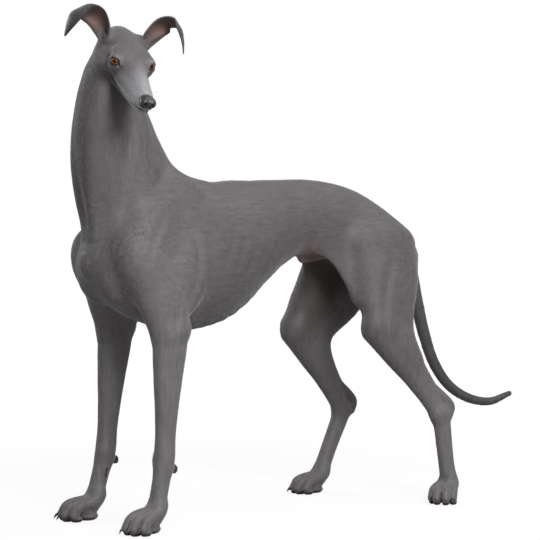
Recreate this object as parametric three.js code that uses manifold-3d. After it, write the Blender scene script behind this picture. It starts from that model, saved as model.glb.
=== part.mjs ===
// Greyhound standing square on four feet, head high and turned to its left, ears flared, tail hanging.
// The animal looks along +X, its left side is +Y and the floor is Z = 0. All sizes are millimetres.
//
// The body is one smooth field: tubes and balls named after muscles and bones, melted into each other.
// Each node is the part of that field inside its own region, turned into a mesh, thinned and cut to fit.

import * as THREE from "three";
import { mergeVertices } from "three/addons/utils/BufferGeometryUtils.js";
import Module from "manifold-3d";

const wasm = await Module();
wasm.setup();

// Driving sizes
const GAP = 0.3; // clearance between two nodes that touch
const ORIGIN = [102, -22, 0]; // from the middle of the whole outline on the floor to the drawing's own zero

// Joints of the legs, which set the stance
const FORE_STANCE = {
  left: {
    side: 1,
    shoulder: [356, 84, 556],
    elbow: [302, 102, 408],
    wrist: [322, 110, 142],
    knuckle: [343, 114, 50],
    paw: [368, 115],
    turn: 6,
    pawSize: 1,
  },
  right: {
    side: -1,
    shoulder: [358, -84, 556],
    elbow: [306, -102, 408],
    wrist: [326, -110, 140],
    knuckle: [350, -114, 50],
    paw: [377, -116],
    turn: -16,
    pawSize: 1,
  },
};
const HIND_STANCE = {
  left: {
    side: 1,
    hip: [-296, 62, 588],
    knee: [-260, 100, 402],
    hock: [-402, 147, 200],
    knuckle: [-424, 157, 48],
    paw: [-408, 162],
    turn: 34,
    pawSize: 0.95,
    ham: [[-396, 556], [-364, 495], [-340, 435], [-334, 380], [-345, 330]],
  },
  right: {
    side: -1,
    hip: [-292, -62, 588],
    knee: [-180, -96, 394],
    hock: [-348, -138, 194],
    knuckle: [-294, -146, 48],
    paw: [-266, -148],
    turn: -8,
    pawSize: 0.95,
    ham: [[-396, 556], [-362, 500], [-318, 440], [-268, 385], [-262, 335]],
  },
};

// The muscle behind the thigh, from the seat bone down
const HAM = [
  { out: 40, wide: 26, deep: 24 },
  { out: 62, wide: 30, deep: 32 },
  { out: 84, wide: 29, deep: 32 },
  { out: 102, wide: 24, deep: 28 },
  { out: 116, wide: 17, deep: 20 },
];

// The head looks to the animal's left, down a little, and leans to that side
const HEAD_PLACE = [356, -14, 1004];
const HEAD_TURN = 72;
const HEAD_NOD = 30;
const HEAD_LEAN = 7;
const HEAD_SIZE = 1.08;

// Triangles kept where the surface is thinned
const BODY_TRIANGLES = 4600;
const HEAD_TRIANGLES = 3500;
const PAW_TRIANGLES = 520;

// Field

const FAR = 1000;
const TUBE_STEPS = 4; // straight lengths between two stations of a tube
const dot = (a, b) => a[0] * b[0] + a[1] * b[1] + a[2] * b[2];
const lerp = (a, b, t) => a + (b - a) * t;
const mixed = (a, b, t) => a.map((v, i) => lerp(v, b[i], t));
const minus = (a, b) => [a[0] - b[0], a[1] - b[1], a[2] - b[2]];
const unit = (a) => a.map((v) => v / Math.hypot(...a));
const cross = (a, b) => [a[1] * b[2] - a[2] * b[1], a[2] * b[0] - a[0] * b[2], a[0] * b[1] - a[1] * b[0]];

// Distance to an oval of three half sizes, near enough for blending.
function ovalDistance(u, v, w, a, b, c) {
  const [ua, vb, wc] = [u / a, v / b, w / c];
  const k0 = Math.sqrt(ua * ua + vb * vb + wc * wc);
  const k1 = Math.sqrt((ua / a) ** 2 + (vb / b) ** 2 + (wc / c) ** 2);
  return k1 < 1e-9 ? -Math.min(a, b, c) : (k0 * (k0 - 1)) / k1;
}

// An oval ball. turn is [yaw, pitch, roll] in degrees.
function ball(melt, at, sizes, turn = [0, 0, 0]) {
  const euler = new THREE.Euler(...[turn[2], turn[1], turn[0]].map(THREE.MathUtils.degToRad), "ZYX");
  const m = new THREE.Matrix4().makeRotationFromEuler(euler);
  return { kind: "ball", melt, at, sizes, axes: columns(m) };
}

function columns(m) {
  return [0, 1, 2].map((i) => new THREE.Vector3().setFromMatrixColumn(m, i).toArray());
}

// A tube through stations [x, y, z, half width, half depth]; side is the direction of its width.
function tube(melt, stations, side = [0, 1, 0], endSide = side) {
  return { kind: "tube", melt, stations, side, endSide };
}

const hollow = (piece) => ({ ...piece, hollow: true });
const mirrored = (make) => [make(1), make(-1)].flat();

// The same piece carried by a placing matrix.
function carried(piece, matrix) {
  const point = (p) => new THREE.Vector3(...p).applyMatrix4(matrix).toArray();
  const way = (p) => new THREE.Vector3(...p).transformDirection(matrix).toArray();
  if (piece.kind === "ball") return { ...piece, at: point(piece.at), axes: piece.axes.map(way) };
  const stations = piece.stations.map(([x, y, z, w, d]) => [...point([x, y, z]), w, d]);
  return { ...piece, stations, side: way(piece.side), endSide: way(piece.endSide) };
}

// A smooth curve through the stations, as short straight lengths.
function lengthsOf({ stations, side, endSide }) {
  const places = stations.map(([x, y, z]) => new THREE.Vector3(x, y, z));
  const widths = stations.map((s) => new THREE.Vector3(s[3], s[4], 0));
  const centre = new THREE.CatmullRomCurve3(places, false, "centripetal");
  const sizes = new THREE.CatmullRomCurve3(widths, false, "catmullrom", 0.4);
  const count = (stations.length - 1) * TUBE_STEPS;
  const points = [];
  for (let i = 0; i <= count; i++) {
    const p = centre.getPoint(i / count);
    const s = sizes.getPoint(i / count);
    points.push({ p: p.toArray(), w: s.x, d: s.y });
  }
  return points.slice(1).map((b, i) => {
    const a = points[i];
    const run = minus(b.p, a.p);
    const along = unit(run);
    const deep = unit(cross(along, mixed(side, endSide, (i + 0.5) / count)));
    return { a, b, run, length: dot(run, run), along, deep, wide: cross(deep, along) };
  });
}

function tubeDistance(piece) {
  const lengths = lengthsOf(piece);
  return ([x, y, z]) => {
    let best = FAR;
    for (const { a, b, run, length, along, deep, wide } of lengths) {
      const [qx, qy, qz] = [x - a.p[0], y - a.p[1], z - a.p[2]];
      const t = Math.min(1, Math.max(0, (qx * run[0] + qy * run[1] + qz * run[2]) / length));
      const [rx, ry, rz] = [qx - t * run[0], qy - t * run[1], qz - t * run[2]];
      const w = a.w + (b.w - a.w) * t;
      const d = a.d + (b.d - a.d) * t;
      const inWidth = rx * wide[0] + ry * wide[1] + rz * wide[2];
      const inDepth = rx * deep[0] + ry * deep[1] + rz * deep[2];
      const inLength = rx * along[0] + ry * along[1] + rz * along[2];
      best = Math.min(best, ovalDistance(inWidth, inDepth, inLength, w, d, Math.min(w, d)));
    }
    return best;
  };
}

function ballDistance({ at, sizes, axes }) {
  return (p) => {
    const q = minus(p, at);
    return ovalDistance(dot(q, axes[0]), dot(q, axes[1]), dot(q, axes[2]), ...sizes);
  };
}

// The box that holds each piece.
function boxOf(piece) {
  const box = new THREE.Box3();
  const sizes = piece.sizes ?? piece.stations.flatMap((s) => s.slice(3));
  const thick = Math.max(...sizes);
  for (const s of piece.stations ?? [piece.at]) box.expandByPoint(new THREE.Vector3(s[0], s[1], s[2]));
  return box.expandByScalar(thick * 1.05);
}

// Smooth union: the two surfaces melt into each other over the length k.
function melted(a, b, k) {
  const h = Math.max(k - Math.abs(a - b), 0) / k;
  return Math.min(a, b) - (h * h * k) / 4;
}

// The distance to all pieces together. Hollow pieces are taken away, in the order of the list.
function fieldOf(pieces) {
  const ready = pieces.map((piece) => {
    const distance = piece.field ?? (piece.kind === "ball" ? ballDistance(piece) : tubeDistance(piece));
    const box = piece.box ?? boxOf(piece);
    const [low, high] = [box.min.toArray(), box.max.toArray()];
    return { distance, melt: piece.melt, taken: piece.hollow, low, high };
  });
  return (p) => {
    let d = FAR;
    for (const { distance, melt, taken, low, high } of ready) {
      const dx = Math.max(low[0] - p[0], 0, p[0] - high[0]);
      const dy = Math.max(low[1] - p[1], 0, p[1] - high[1]);
      const dz = Math.max(low[2] - p[2], 0, p[2] - high[2]);
      const nearest = Math.sqrt(dx * dx + dy * dy + dz * dz);
      if (taken) {
        if (nearest < melt - d) d = -melted(-d, distance(p), melt);
      } else if (nearest < d + melt) {
        d = melted(d, distance(p), melt);
      }
    }
    return d;
  };
}

// Trunk and neck

const TRUNK = [
  tube(30, [
    [418, 0, 548, 34, 44],
    [370, 0, 552, 72, 92],
    [304, 0, 558, 90, 136],
    [230, 0, 565, 98, 163],
    [150, 0, 570, 102, 157],
    [70, 0, 601, 100, 127],
    [0, 0, 625, 90, 103],
    [-70, 0, 642, 77, 88],
    [-150, 0, 645, 66, 85],
    [-230, 0, 634, 66, 82],
    [-300, 0, 608, 70, 76],
    [-360, 0, 578, 62, 62],
    [-396, 0, 566, 42, 44],
  ]),
];

const NECK = [
  tube(
    46,
    [
      [266, 0, 600, 78, 118],
      [316, 0, 668, 78, 118],
      [350, -2, 740, 75, 112],
      [368, -6, 810, 71, 101],
      [374, -11, 880, 62, 84],
      [373, -9, 938, 53, 64],
      [369, 2, 982, 44, 46],
    ],
    [0, 1, 0],
    [-0.6, 0.8, 0]
  ),
];

// Muscles that show on the sides of the trunk
const SHOULDERS = mirrored((s) => [
  ball(34, [372, s * 80, 556], [48, 42, 66], [0, 16, 0]),
  ball(22, [390, s * 36, 520], [42, 36, 56], [0, 12, 0]),
  ball(20, [262, s * 82, 512], [60, 30, 92], [0, -18, 0]),
]);

const NECK_MUSCLES = mirrored((s) => [
  tube(24, [
    [404, s * 26, 940, 10, 12],
    [424, s * 30, 860, 12, 15],
    [438, s * 28, 770, 13, 17],
    [432, s * 22, 680, 13, 18],
    [420, s * 14, 610, 10, 14],
  ]),
  tube(24, [
    [352, s * 36, 900, 14, 20],
    [346, s * 48, 800, 16, 24],
    [338, s * 57, 710, 18, 28],
    [350, s * 70, 630, 18, 26],
  ]),
]);

// Fold of skin between the belly and the thigh
const FLANKS = mirrored((s) => [
  tube(28, [
    [-130, s * 48, 592, 8, 24],
    [-184, s * 54, 568, 9, 32],
    [-214, s * 62, 526, 10, 32],
    [-236, s * 72, 470, 12, 26],
  ]),
]);

const RUMP = mirrored((s) => [
  ball(30, [-296, s * 42, 604], [78, 34, 52], [0, -14, 0]),
  ball(24, [-350, s * 34, 562], [54, 34, 46], [0, -30, 0]),
]);

const TAIL = [
  tube(24, [
    [-372, 0, 600, 24, 26],
    [-408, 0, 584, 22, 23],
    [-440, 0, 530, 18, 19],
    [-464, 0, 452, 16, 16],
    [-486, 2, 376, 14.5, 14.5],
    [-512, 8, 306, 13.5, 13.5],
    [-548, 20, 252, 12.5, 12.5],
    [-594, 38, 220, 11.5, 11.5],
    [-646, 58, 210, 10, 10],
    [-696, 76, 228, 7, 7],
  ]),
];

// Sheath under the belly
const SHEATH = [
  tube(16, [
    [-210, 0, 574, 9, 9],
    [-160, 0, 560, 11, 12],
    [-122, 0, 553, 9, 10],
  ]),
];

// Legs

// Stations of a bone's flesh between two joints, from rows of
// [share of the way, half width, half depth, forward shift].
function flesh(from, to, rows) {
  return rows.map(([share, wide, deep, ahead = 0]) => {
    const [x, y, z] = mixed(from, to, share);
    return [x + ahead, y, z, wide, deep];
  });
}

function foreleg({ side, shoulder, elbow, wrist, knuckle }) {
  const blade = [
    [236, side * 50, 700, 22, 40],
    [286, side * 64, 650, 30, 48],
    [332, side * 76, 600, 36, 50],
  ];
  return [
    tube(30, [...blade, ...flesh(shoulder, elbow, [[0, 38, 48, -4], [0.5, 37, 50, -2], [1, 29, 43]])]),
    tube(16, [
      ...flesh(elbow, wrist, [
        [0, 27, 42, -2],
        [0.16, 26, 39, -1],
        [0.38, 23, 33],
        [0.6, 20, 27],
        [0.8, 18, 23.5],
        [0.95, 19.5, 24],
      ]),
      ...flesh(wrist, knuckle, [
        [0.1, 19.5, 23.5],
        [0.4, 17.5, 20],
        [0.8, 19, 19],
        [1, 22, 20],
      ]),
    ]),
    ball(12, [elbow[0] - 34, elbow[1], elbow[2] + 6], [15, 11, 24], [0, -10, 0]),
    ball(7, [wrist[0] - 25, wrist[1], wrist[2] - 16], [8, 7.5, 11]),
    ball(10, [wrist[0] + 10, wrist[1] - side * 8, wrist[2] + 4], [10, 10, 16]),
  ];
}

function hindleg({ side, hip, knee, hock, knuckle, ham }) {
  const heel = [hock[0] - 36, hock[1] - side, hock[2] + 16];
  return [
    tube(34, flesh(hip, knee, [
      [0, 44, 88, -8],
      [0.4, 45, 84, -22],
      [0.75, 39, 66, -16],
      [1, 31, 44, -6],
    ])),
    tube(26, ham.map(([x, z], i) => [x, side * HAM[i].out, z, HAM[i].wide, HAM[i].deep])),
    tube(20, flesh(knee, hock, [
      [0, 31, 44],
      [0.3, 29, 43, -12],
      [0.6, 22, 32, -11],
      [0.85, 17.5, 23, -4],
      [1, 18, 21],
    ])),
    tube(12, [
      [...mixed(knee, heel, 0.42), 11, 15],
      [...mixed(knee, heel, 0.72), 8, 11],
      [...heel, 10, 12],
      [heel[0] + 6, heel[1], heel[2] - 18, 10, 12],
    ]),
    tube(14, flesh(hock, knuckle, [
      [0, 18.5, 26, -5],
      [0.2, 17, 22.5, -5],
      [0.5, 16, 21, -2],
      [0.8, 17, 20],
      [1, 22, 21],
    ])),
  ];
}

// Paws

// Each toe: distance to the side, reach forward and half width
const TOES = [
  { out: -25, reach: 27, wide: 10.5 },
  { out: -10.5, reach: 42, wide: 11 },
  { out: 10.5, reach: 42, wide: 11 },
  { out: 25, reach: 27, wide: 10.5 },
];

// A paw in its own frame: toes forward, floor at zero.
function pawPieces(size) {
  const toes = TOES.map(({ out, reach, wide }) =>
    tube(2.5, [
      [-16, out * 0.62, 40, wide + 2, 13],
      [reach - 26, out * 0.85, 37, wide, 12.5],
      [reach - 8, out, 30, wide, 12],
      [reach + 2, out * 1.04, 15, wide - 1, 11],
    ])
  );
  const toePads = TOES.map(({ out, reach }) => ball(2.5, [reach - 5, out, 6], [13, 8.5, 8]));
  return [
    ...toes,
    tube(8, [
      [-30, 0, 54, 21, 19],
      [-20, 0, 36, 24, 19],
      [-12, 0, 22, 21, 15],
    ]),
    ball(6, [-7, 0, 9], [24, 21, 12]),
    ball(8, [2, 0, 22], [24, 22, 13]),
    ...toePads,
  ].map((piece) => scaledPiece(piece, size));
}

const scaled = (values, size) => values.map((v) => v * size);

function scaledPiece(piece, size) {
  if (piece.kind === "ball") {
    return { ...piece, at: scaled(piece.at, size), sizes: scaled(piece.sizes, size) };
  }
  return { ...piece, stations: piece.stations.map((s) => s.map((v) => v * size)) };
}

function pawMatrix({ paw, turn }) {
  return new THREE.Matrix4().makeRotationZ(THREE.MathUtils.degToRad(turn)).setPosition(paw[0], paw[1], 0);
}

// The paw's own field as one piece, so that its toes keep their creases when the paw melts into the leg.
function paw(stance) {
  const matrix = pawMatrix(stance);
  const pieces = pawPieces(stance.pawSize).map((piece) => carried(piece, matrix));
  const box = pieces.map(boxOf).reduce((all, one) => all.union(one));
  return { kind: "paw", melt: 10, field: fieldOf(pieces), box };
}

// Head, in its own frame: nose along +X, origin at the nape

const headTurn = new THREE.Euler(...[-HEAD_LEAN, HEAD_NOD, HEAD_TURN].map(THREE.MathUtils.degToRad), "ZYX");
const headPlace = new THREE.Matrix4().makeRotationFromEuler(headTurn).setPosition(...HEAD_PLACE);
const sized = (points) => points.map((p) => p.map((v) => v * HEAD_SIZE));

// The eyeball, and the way it looks: so many degrees out from the nose and up
const EYE = { at: [118, 33, 14], radius: 11, out: 36, up: 8 };
const LID = 3.6; // thickness of the lids in front of the eyeball
const eyeLook = (s) => [EYE.out * s, -EYE.up, 0];
const eyeAhead = (s, far) => {
  const [out, up] = [EYE.out * s, EYE.up].map(THREE.MathUtils.degToRad);
  const way = [Math.cos(out) * Math.cos(up), Math.sin(out) * Math.cos(up), Math.sin(up)];
  return [EYE.at[0], EYE.at[1] * s, EYE.at[2]].map((v, i) => v + way[i] * far);
};

const HEAD = [
  tube(16, [
    [4, 0, 3, 34, 34],
    [34, 0, 5, 42, 37],
    [66, 0, 3, 44, 37],
    [96, 0, 1, 38, 34.5],
    [124, 0, -1, 30, 30],
    [156, 0, -2, 25, 27],
    [196, 0, -4, 21.5, 23],
    [234, 0, -6, 18.5, 18],
    [250, 0, -6, 15, 14],
  ]),
  tube(6, [
    [70, 0, -32, 34, 12],
    [120, 0, -32, 25, 9],
    [170, 0, -31, 18, 8],
    [220, 0, -27, 13.5, 7],
    [247, 0, -21, 10, 5.5],
  ]),
  ...mirrored((s) => [
    ball(14, [64, s * 38, -16], [34, 18, 26]),
    tube(9, [
      [118, s * 33, -3, 5, 6],
      [94, s * 47, -7, 5.5, 7.5],
      [62, s * 54, -6, 6, 9],
      [36, s * 45, 0, 6, 8],
    ]),
    ball(14, [112, s * 25, 25], [17, 9, 5.5], [s * -14, 8, 0]),
    ball(14, [34, s * 35, 24], [20, 13, 13]),
    tube(5, [
      [126, s * 27, -19, 3, 5],
      [160, s * 22.5, -19.5, 3.5, 5.5],
      [200, s * 18.5, -18.5, 4, 6],
      [238, s * 12.5, -13, 4, 5.5],
    ]),
    ball(3, [EYE.at[0], s * EYE.at[1], EYE.at[2]], [EYE.radius + LID, EYE.radius + LID, EYE.radius + LID]),
    hollow(ball(2, eyeAhead(s, EYE.radius + 1), [9, 12.4, 7], eyeLook(s))),
  ]),
];

// Line of the mouth seen from the side, from its corner to the chin
const MOUTH = [
  [122, -25],
  [160, -26.5],
  [205, -25.5],
  [238, -20],
  [268, -14],
];
const MOUTH_OPEN = 1.6;
const MOUTH_DEPTH = 6;

// The ear as a curved sheet from root to tip: middle of each row, the way its hollow side faces,
// half its width along the surface, and how far the row curls round, in degrees each side.
const EAR = [
  { at: [36, 34, 20], faces: [0.8, 0.5, 0.2], half: 19, curl: 120 },
  { at: [28, 48, 44], faces: [0.88, 0.3, 0.1], half: 24, curl: 85 },
  { at: [22, 66, 66], faces: [0.9, 0.2, -0.2], half: 28, curl: 60 },
  { at: [24, 87, 76], faces: [0.75, 0.05, -0.65], half: 28, curl: 42 },
  { at: [34, 104, 66], faces: [0.15, -0.35, -0.9], half: 22, curl: 32 },
  { at: [43, 114, 44], faces: [-0.25, -0.8, -0.4], half: 13, curl: 24 },
  { at: [48, 119, 20], faces: [-0.3, -0.85, -0.3], half: 2, curl: 20 },
];
const EAR_THICK = 2.6;

function earMesh(s) {
  const [rows, columns] = [12, 8];
  const across = (p) => [p[0], p[1] * s, p[2]];
  const curve = (toPoint) => new THREE.CatmullRomCurve3(EAR.map((row) => new THREE.Vector3(...toPoint(row))));
  const middle = curve(({ at }) => scaled(across(at), HEAD_SIZE));
  const facing = curve(({ faces }) => across(faces));
  const shape = curve(({ half, curl }) => [half * HEAD_SIZE, curl, 0]);
  const points = [];
  for (const layer of [-0.5, 0.5])
    for (let i = 0; i <= rows; i++) {
      const share = i / rows;
      const along = middle.getTangent(share);
      const hollowWay = facing.getPoint(share);
    hollowWay.addScaledVector(along, -hollowWay.dot(along)).normalize();
      const sideWay = new THREE.Vector3().crossVectors(along, hollowWay).multiplyScalar(s);
      const { x: half, y: curl } = shape.getPoint(share);
      const bend = THREE.MathUtils.degToRad(curl);
      const radius = half / bend;
      for (let j = 0; j <= columns; j++) {
        const turn = bend * (2 * (j / columns) - 1);
        const depth = radius + layer * EAR_THICK;
        const p = middle.getPoint(share).addScaledVector(sideWay, Math.sin(turn) * depth);
        p.addScaledVector(hollowWay, radius - Math.cos(turn) * depth);
        points.push(p.toArray());
      }
    }
  const at = (layer, i, j) => (layer * (rows + 1) + i) * (columns + 1) + j;
  const faces = [];
  const quad = (a, b, c, d) => faces.push([a, b, c], [a, c, d]);
  for (let i = 0; i < rows; i++) {
    for (let j = 0; j < columns; j++) {
      quad(at(0, i, j), at(0, i, j + 1), at(0, i + 1, j + 1), at(0, i + 1, j));
      quad(at(1, i, j), at(1, i + 1, j), at(1, i + 1, j + 1), at(1, i, j + 1));
    }
    quad(at(0, i, 0), at(0, i + 1, 0), at(1, i + 1, 0), at(1, i, 0));
    quad(at(0, i, columns), at(1, i, columns), at(1, i + 1, columns), at(0, i + 1, columns));
  }
  for (let j = 0; j < columns; j++) {
    quad(at(0, 0, j), at(1, 0, j), at(1, 0, j + 1), at(0, 0, j + 1));
    quad(at(0, rows, j), at(0, rows, j + 1), at(1, rows, j + 1), at(1, rows, j));
  }
  return { points, faces: s > 0 ? faces : faces.map(([a, b, c]) => [a, c, b]) };
}

// Leather of the nose
const NOSE = [
  ball(4, [256, 0, 1], [12, 14.5, 11]),
  ...mirrored((s) => [
    ball(4, [261, s * 8, 0], [8.5, 7, 7.5]),
    hollow(tube(1.5, [
      [272, s * 5, 0, 2.6, 3.2],
      [264, s * 8, 0, 2.4, 3.4],
      [256, s * 14, -2, 1.6, 2.4],
    ])),
  ]),
];

const inHead = (pieces, matrix = headPlace) =>
  pieces.map((piece) => carried(scaledPiece(piece, HEAD_SIZE), matrix));

// The whole skin

const stances = [...Object.values(FORE_STANCE), ...Object.values(HIND_STANCE)];
const BODY = [
  ...TRUNK,
  ...RUMP,
  ...SHOULDERS,
  ...SHEATH,
  ...NECK,
  ...NECK_MUSCLES,
  ...FLANKS,
  ...TAIL,
  ...Object.values(FORE_STANCE).flatMap(foreleg),
  ...Object.values(HIND_STANCE).flatMap(hindleg),
  ...inHead(HEAD),
];
const animal = fieldOf([...BODY, ...stances.map((stance) => paw(stance))]);

// Meshing

// A closed mesh of the field inside a box, by surface nets: one vertex in each cell that the surface crosses.
// Blocks of cells that lie far from the surface are filled with one value.
function surfaceNet(field, low, high, cell) {
  const block = 4;
  const count = [0, 1, 2].map((i) => Math.ceil((high[i] - low[i]) / cell / block) * block + 3);
  const place = (i, j, k) => [low[0] + (i - 1) * cell, low[1] + (j - 1) * cell, low[2] + (k - 1) * cell];
  const index = (i, j, k) => i + count[0] * (j + count[1] * k);
  const values = new Float64Array(count[0] * count[1] * count[2]).fill(cell);
  const near = block * cell * 1.3;
  for (let k = 1; k < count[2] - 1; k += block)
    for (let j = 1; j < count[1] - 1; j += block)
      for (let i = 1; i < count[0] - 1; i += block) {
        const middle = field(place(i + block / 2, j + block / 2, k + block / 2));
        for (let c = k; c < Math.min(k + block, count[2] - 1); c++)
          for (let b = j; b < Math.min(j + block, count[1] - 1); b++)
            for (let a = i; a < Math.min(i + block, count[0] - 1); a++)
              values[index(a, b, c)] = Math.abs(middle) > near ? middle : field(place(a, b, c));
      }
  const corners = [0, 1, 2, 3, 4, 5, 6, 7].map((c) => [c & 1, (c >> 1) & 1, (c >> 2) & 1]);
  const edges = [];
  for (let a = 0; a < 8; a++) for (const bit of [1, 2, 4]) if (!(a & bit)) edges.push([a, a | bit]);
  const step = corners.map(([a, b, c]) => index(a, b, c));
  const vertexOf = new Map();
  const points = [];
  for (let k = 0; k < count[2] - 1; k++)
    for (let j = 0; j < count[1] - 1; j++)
      for (let i = 0; i < count[0] - 1; i++) {
        const key = index(i, j, k);
        const inside = step.reduce((sum, s) => sum + (values[key + s] < 0), 0);
        if (inside === 0 || inside === 8) continue;
        const sum = [0, 0, 0];
        let crossings = 0;
        for (const [a, b] of edges) {
          const [from, to] = [values[key + step[a]], values[key + step[b]]];
          if (from < 0 === to < 0) continue;
          const p = mixed(corners[a], corners[b], from / (from - to));
          for (let n = 0; n < 3; n++) sum[n] += p[n];
          crossings++;
        }
        vertexOf.set(key, points.length);
        points.push(place(i + sum[0] / crossings, j + sum[1] / crossings, k + sum[2] / crossings));
      }
  const faces = [];
  const ways = [1, count[0], count[0] * count[1]];
  for (const key of vertexOf.keys()) {
    for (let n = 0; n < 3; n++) {
      const [u, w] = [ways[(n + 1) % 3], ways[(n + 2) % 3]];
      const starts = values[key] < 0;
      if (starts === values[key + ways[n]] < 0) continue;
      const ring = [key, key - u, key - u - w, key - w].map((c) => vertexOf.get(c));
      if (!starts) ring.reverse();
      faces.push([ring[0], ring[1], ring[2]], [ring[0], ring[2], ring[3]]);
    }
  }
  return unpinched({ points, faces });
}

// Where two sheets of the surface share one vertex, each gets a vertex of its own.
function unpinched({ points, faces }) {
  const group = Array.from({ length: faces.length * 3 }, (_, i) => i);
  const root = (i) => {
    while (group[i] !== i) i = group[i] = group[group[i]];
    return i;
  };
  const open = new Map();
  faces.forEach((face, f) => {
    for (let c = 0; c < 3; c++) {
      const [a, b] = [face[c], face[(c + 1) % 3]];
      const [here, next] = [3 * f + c, 3 * f + ((c + 1) % 3)];
      const match = open.get(`${b},${a}`)?.pop();
      if (match) {
        group[root(here)] = root(match.next);
        group[root(next)] = root(match.here);
      } else {
        const waiting = open.get(`${a},${b}`) ?? [];
        waiting.push({ here, next });
        open.set(`${a},${b}`, waiting);
      }
    }
  });
  const corners = faces.flat();
  const vertexOf = new Map();
  const split = [];
  corners.forEach((v, i) => {
    if (vertexOf.has(root(i))) return;
    vertexOf.set(root(i), split.length);
    split.push(points[v]);
  });
  return { points: split, faces: faces.map((_, f) => [0, 1, 2].map((c) => vertexOf.get(root(3 * f + c)))) };
}

// Move each vertex a little towards the middle of its neighbours.
function relaxed({ points, faces }, rounds) {
  for (let round = 0; round < rounds; round++) {
    const sums = points.map(() => [0, 0, 0, 0]);
    for (const face of faces)
      for (const [from, to] of [[0, 1], [1, 2], [2, 0]]) {
        const sum = sums[face[from]];
        points[face[to]].forEach((v, n) => (sum[n] += v));
        sum[3]++;
      }
    points = points.map((p, i) => p.map((v, n) => lerp(v, sums[i][n] / sums[i][3], 0.5)));
  }
  return { points, faces };
}

const FLOOR_REACH = 0.15; // soles this near the floor are laid flat on it
const SLIVER = 1e-3; // twice the area of a triangle too thin to keep
const FLAT_COST = 0.02; // edges that cost less than this are closed up on every node
const FLAT_EVENNESS = 1e-7;

// Heap of candidates, cheapest first
class Heap {
  items = [];
  push(item) {
    const { items } = this;
    let i = items.push(item) - 1;
    while (i > 0) {
      const up = (i - 1) >> 1;
      if (items[up].cost <= item.cost) break;
      items[i] = items[up];
      i = up;
    }
    items[i] = item;
  }
  pop() {
    const { items } = this;
    const top = items[0];
    const last = items.pop();
    if (items.length === 0) return top;
    let i = 0;
    for (;;) {
      let down = 2 * i + 1;
      if (down >= items.length) break;
      if (down + 1 < items.length && items[down + 1].cost < items[down].cost) down++;
      if (items[down].cost >= last.cost) break;
      items[i] = items[down];
      i = down;
    }
    items[i] = last;
    return top;
  }
}

// Thin a closed mesh to a number of triangles. The edge that changes the shape least is closed up first:
// each vertex keeps the planes of its triangles as a quadric, and the cost is the distance to them.
// `limit` stops it at a cost, and `evenness` keeps edges from growing long.
function thinned({ points, faces }, target, limit = Infinity, evenness = 1e-4) {
  points = points.map((p) => [...p]);
  faces = faces.map((f) => [...f]);
  const quadrics = points.map(() => new Float64Array(10));
  const around = points.map(() => new Set());
  const stamp = new Uint32Array(points.length);
  const normalOf = ([a, b, c]) => cross(minus(points[b], points[a]), minus(points[c], points[a]));
  faces.forEach((face, f) => {
    const n = normalOf(face);
    const size = Math.hypot(...n) || 1;
    const [a, b, c] = n.map((v) => v / size);
    const d = -dot([a, b, c], points[face[0]]);
    const terms = [a * a, a * b, a * c, a * d, b * b, b * c, b * d, c * c, c * d, d * d];
    for (const v of face) {
      around[v].add(f);
      terms.forEach((t, i) => (quadrics[v][i] += t * size));
    }
  });
  const costAt = (q, [x, y, z]) =>
    q[0] * x * x + 2 * q[1] * x * y + 2 * q[2] * x * z + 2 * q[3] * x + q[4] * y * y +
    2 * q[5] * y * z + 2 * q[6] * y + q[7] * z * z + 2 * q[8] * z + q[9];
  const heap = new Heap();
  const offer = (a, b) => {
    const q = quadrics[a].map((v, i) => v + quadrics[b][i]);
    const matrix = new THREE.Matrix3().set(q[0], q[1], q[2], q[1], q[4], q[5], q[2], q[5], q[7]);
    const middle = mixed(points[a], points[b], 0.5);
    let place = middle;
    const trace = q[0] + q[4] + q[7];
    if (matrix.determinant() > 1e-5 * trace ** 3) {
      const best = new THREE.Vector3(-q[3], -q[6], -q[8]).applyMatrix3(matrix.invert()).toArray();
      const reach = Math.hypot(...minus(points[a], points[b]));
      if (Math.hypot(...minus(best, middle)) < reach) place = best;
    }
    const length = dot(minus(points[a], points[b]), minus(points[a], points[b]));
    const cost = costAt(q, place) + evenness * length * length;
    heap.push({ cost, a, b, place, stamps: [stamp[a], stamp[b]] });
  };
  const neighbours = (v) => new Set([...around[v]].flatMap((f) => faces[f]).filter((w) => w !== v));
  points.forEach((_, v) => neighbours(v).forEach((w) => v < w && offer(v, w)));
  let left = faces.length;
  while (left > target && heap.items.length > 0) {
    const { a, b, place, stamps, cost } = heap.pop();
    if (cost > limit) break;
    if (stamps[0] !== stamp[a] || stamps[1] !== stamp[b]) continue;
    const near = neighbours(b);
    const shared = [...neighbours(a)].filter((v) => near.has(v));
    if (shared.length !== 2 || shared.some((v) => around[v].size < 5)) continue;
    const keeps = [a, b].every((v) =>
      [...around[v]].every((f) => {
        if (faces[f].includes(a) && faces[f].includes(b)) return true;
        const before = normalOf(faces[f]);
        if (Math.hypot(...before) < SLIVER) return true;
        const corner = faces[f].map((w) => (w === v ? place : points[w]));
        const after = cross(minus(corner[1], corner[0]), minus(corner[2], corner[0]));
        return dot(before, after) > 0.3 * Math.hypot(...before) * Math.hypot(...after);
      })
    );
    if (!keeps) continue;
    points[a] = place;
    quadrics[a] = quadrics[a].map((v, i) => v + quadrics[b][i]);
    for (const f of [...around[b]]) {
      if (faces[f].includes(a)) {
        for (const v of faces[f]) around[v].delete(f);
        faces[f] = null;
        left--;
      } else {
        faces[f] = faces[f].map((v) => (v === b ? a : v));
        around[a].add(f);
      }
    }
    around[b].clear();
    stamp[a]++;
    stamp[b]++;
    neighbours(a).forEach((w) => offer(a, w));
  }
  const used = [...new Set(faces.filter(Boolean).flat())];
  const renamed = new Map(used.map((v, i) => [v, i]));
  const kept = faces.filter(Boolean).map((f) => f.map((v) => renamed.get(v)));
  return { points: used.map((v) => points[v]), faces: kept };
}

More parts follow.
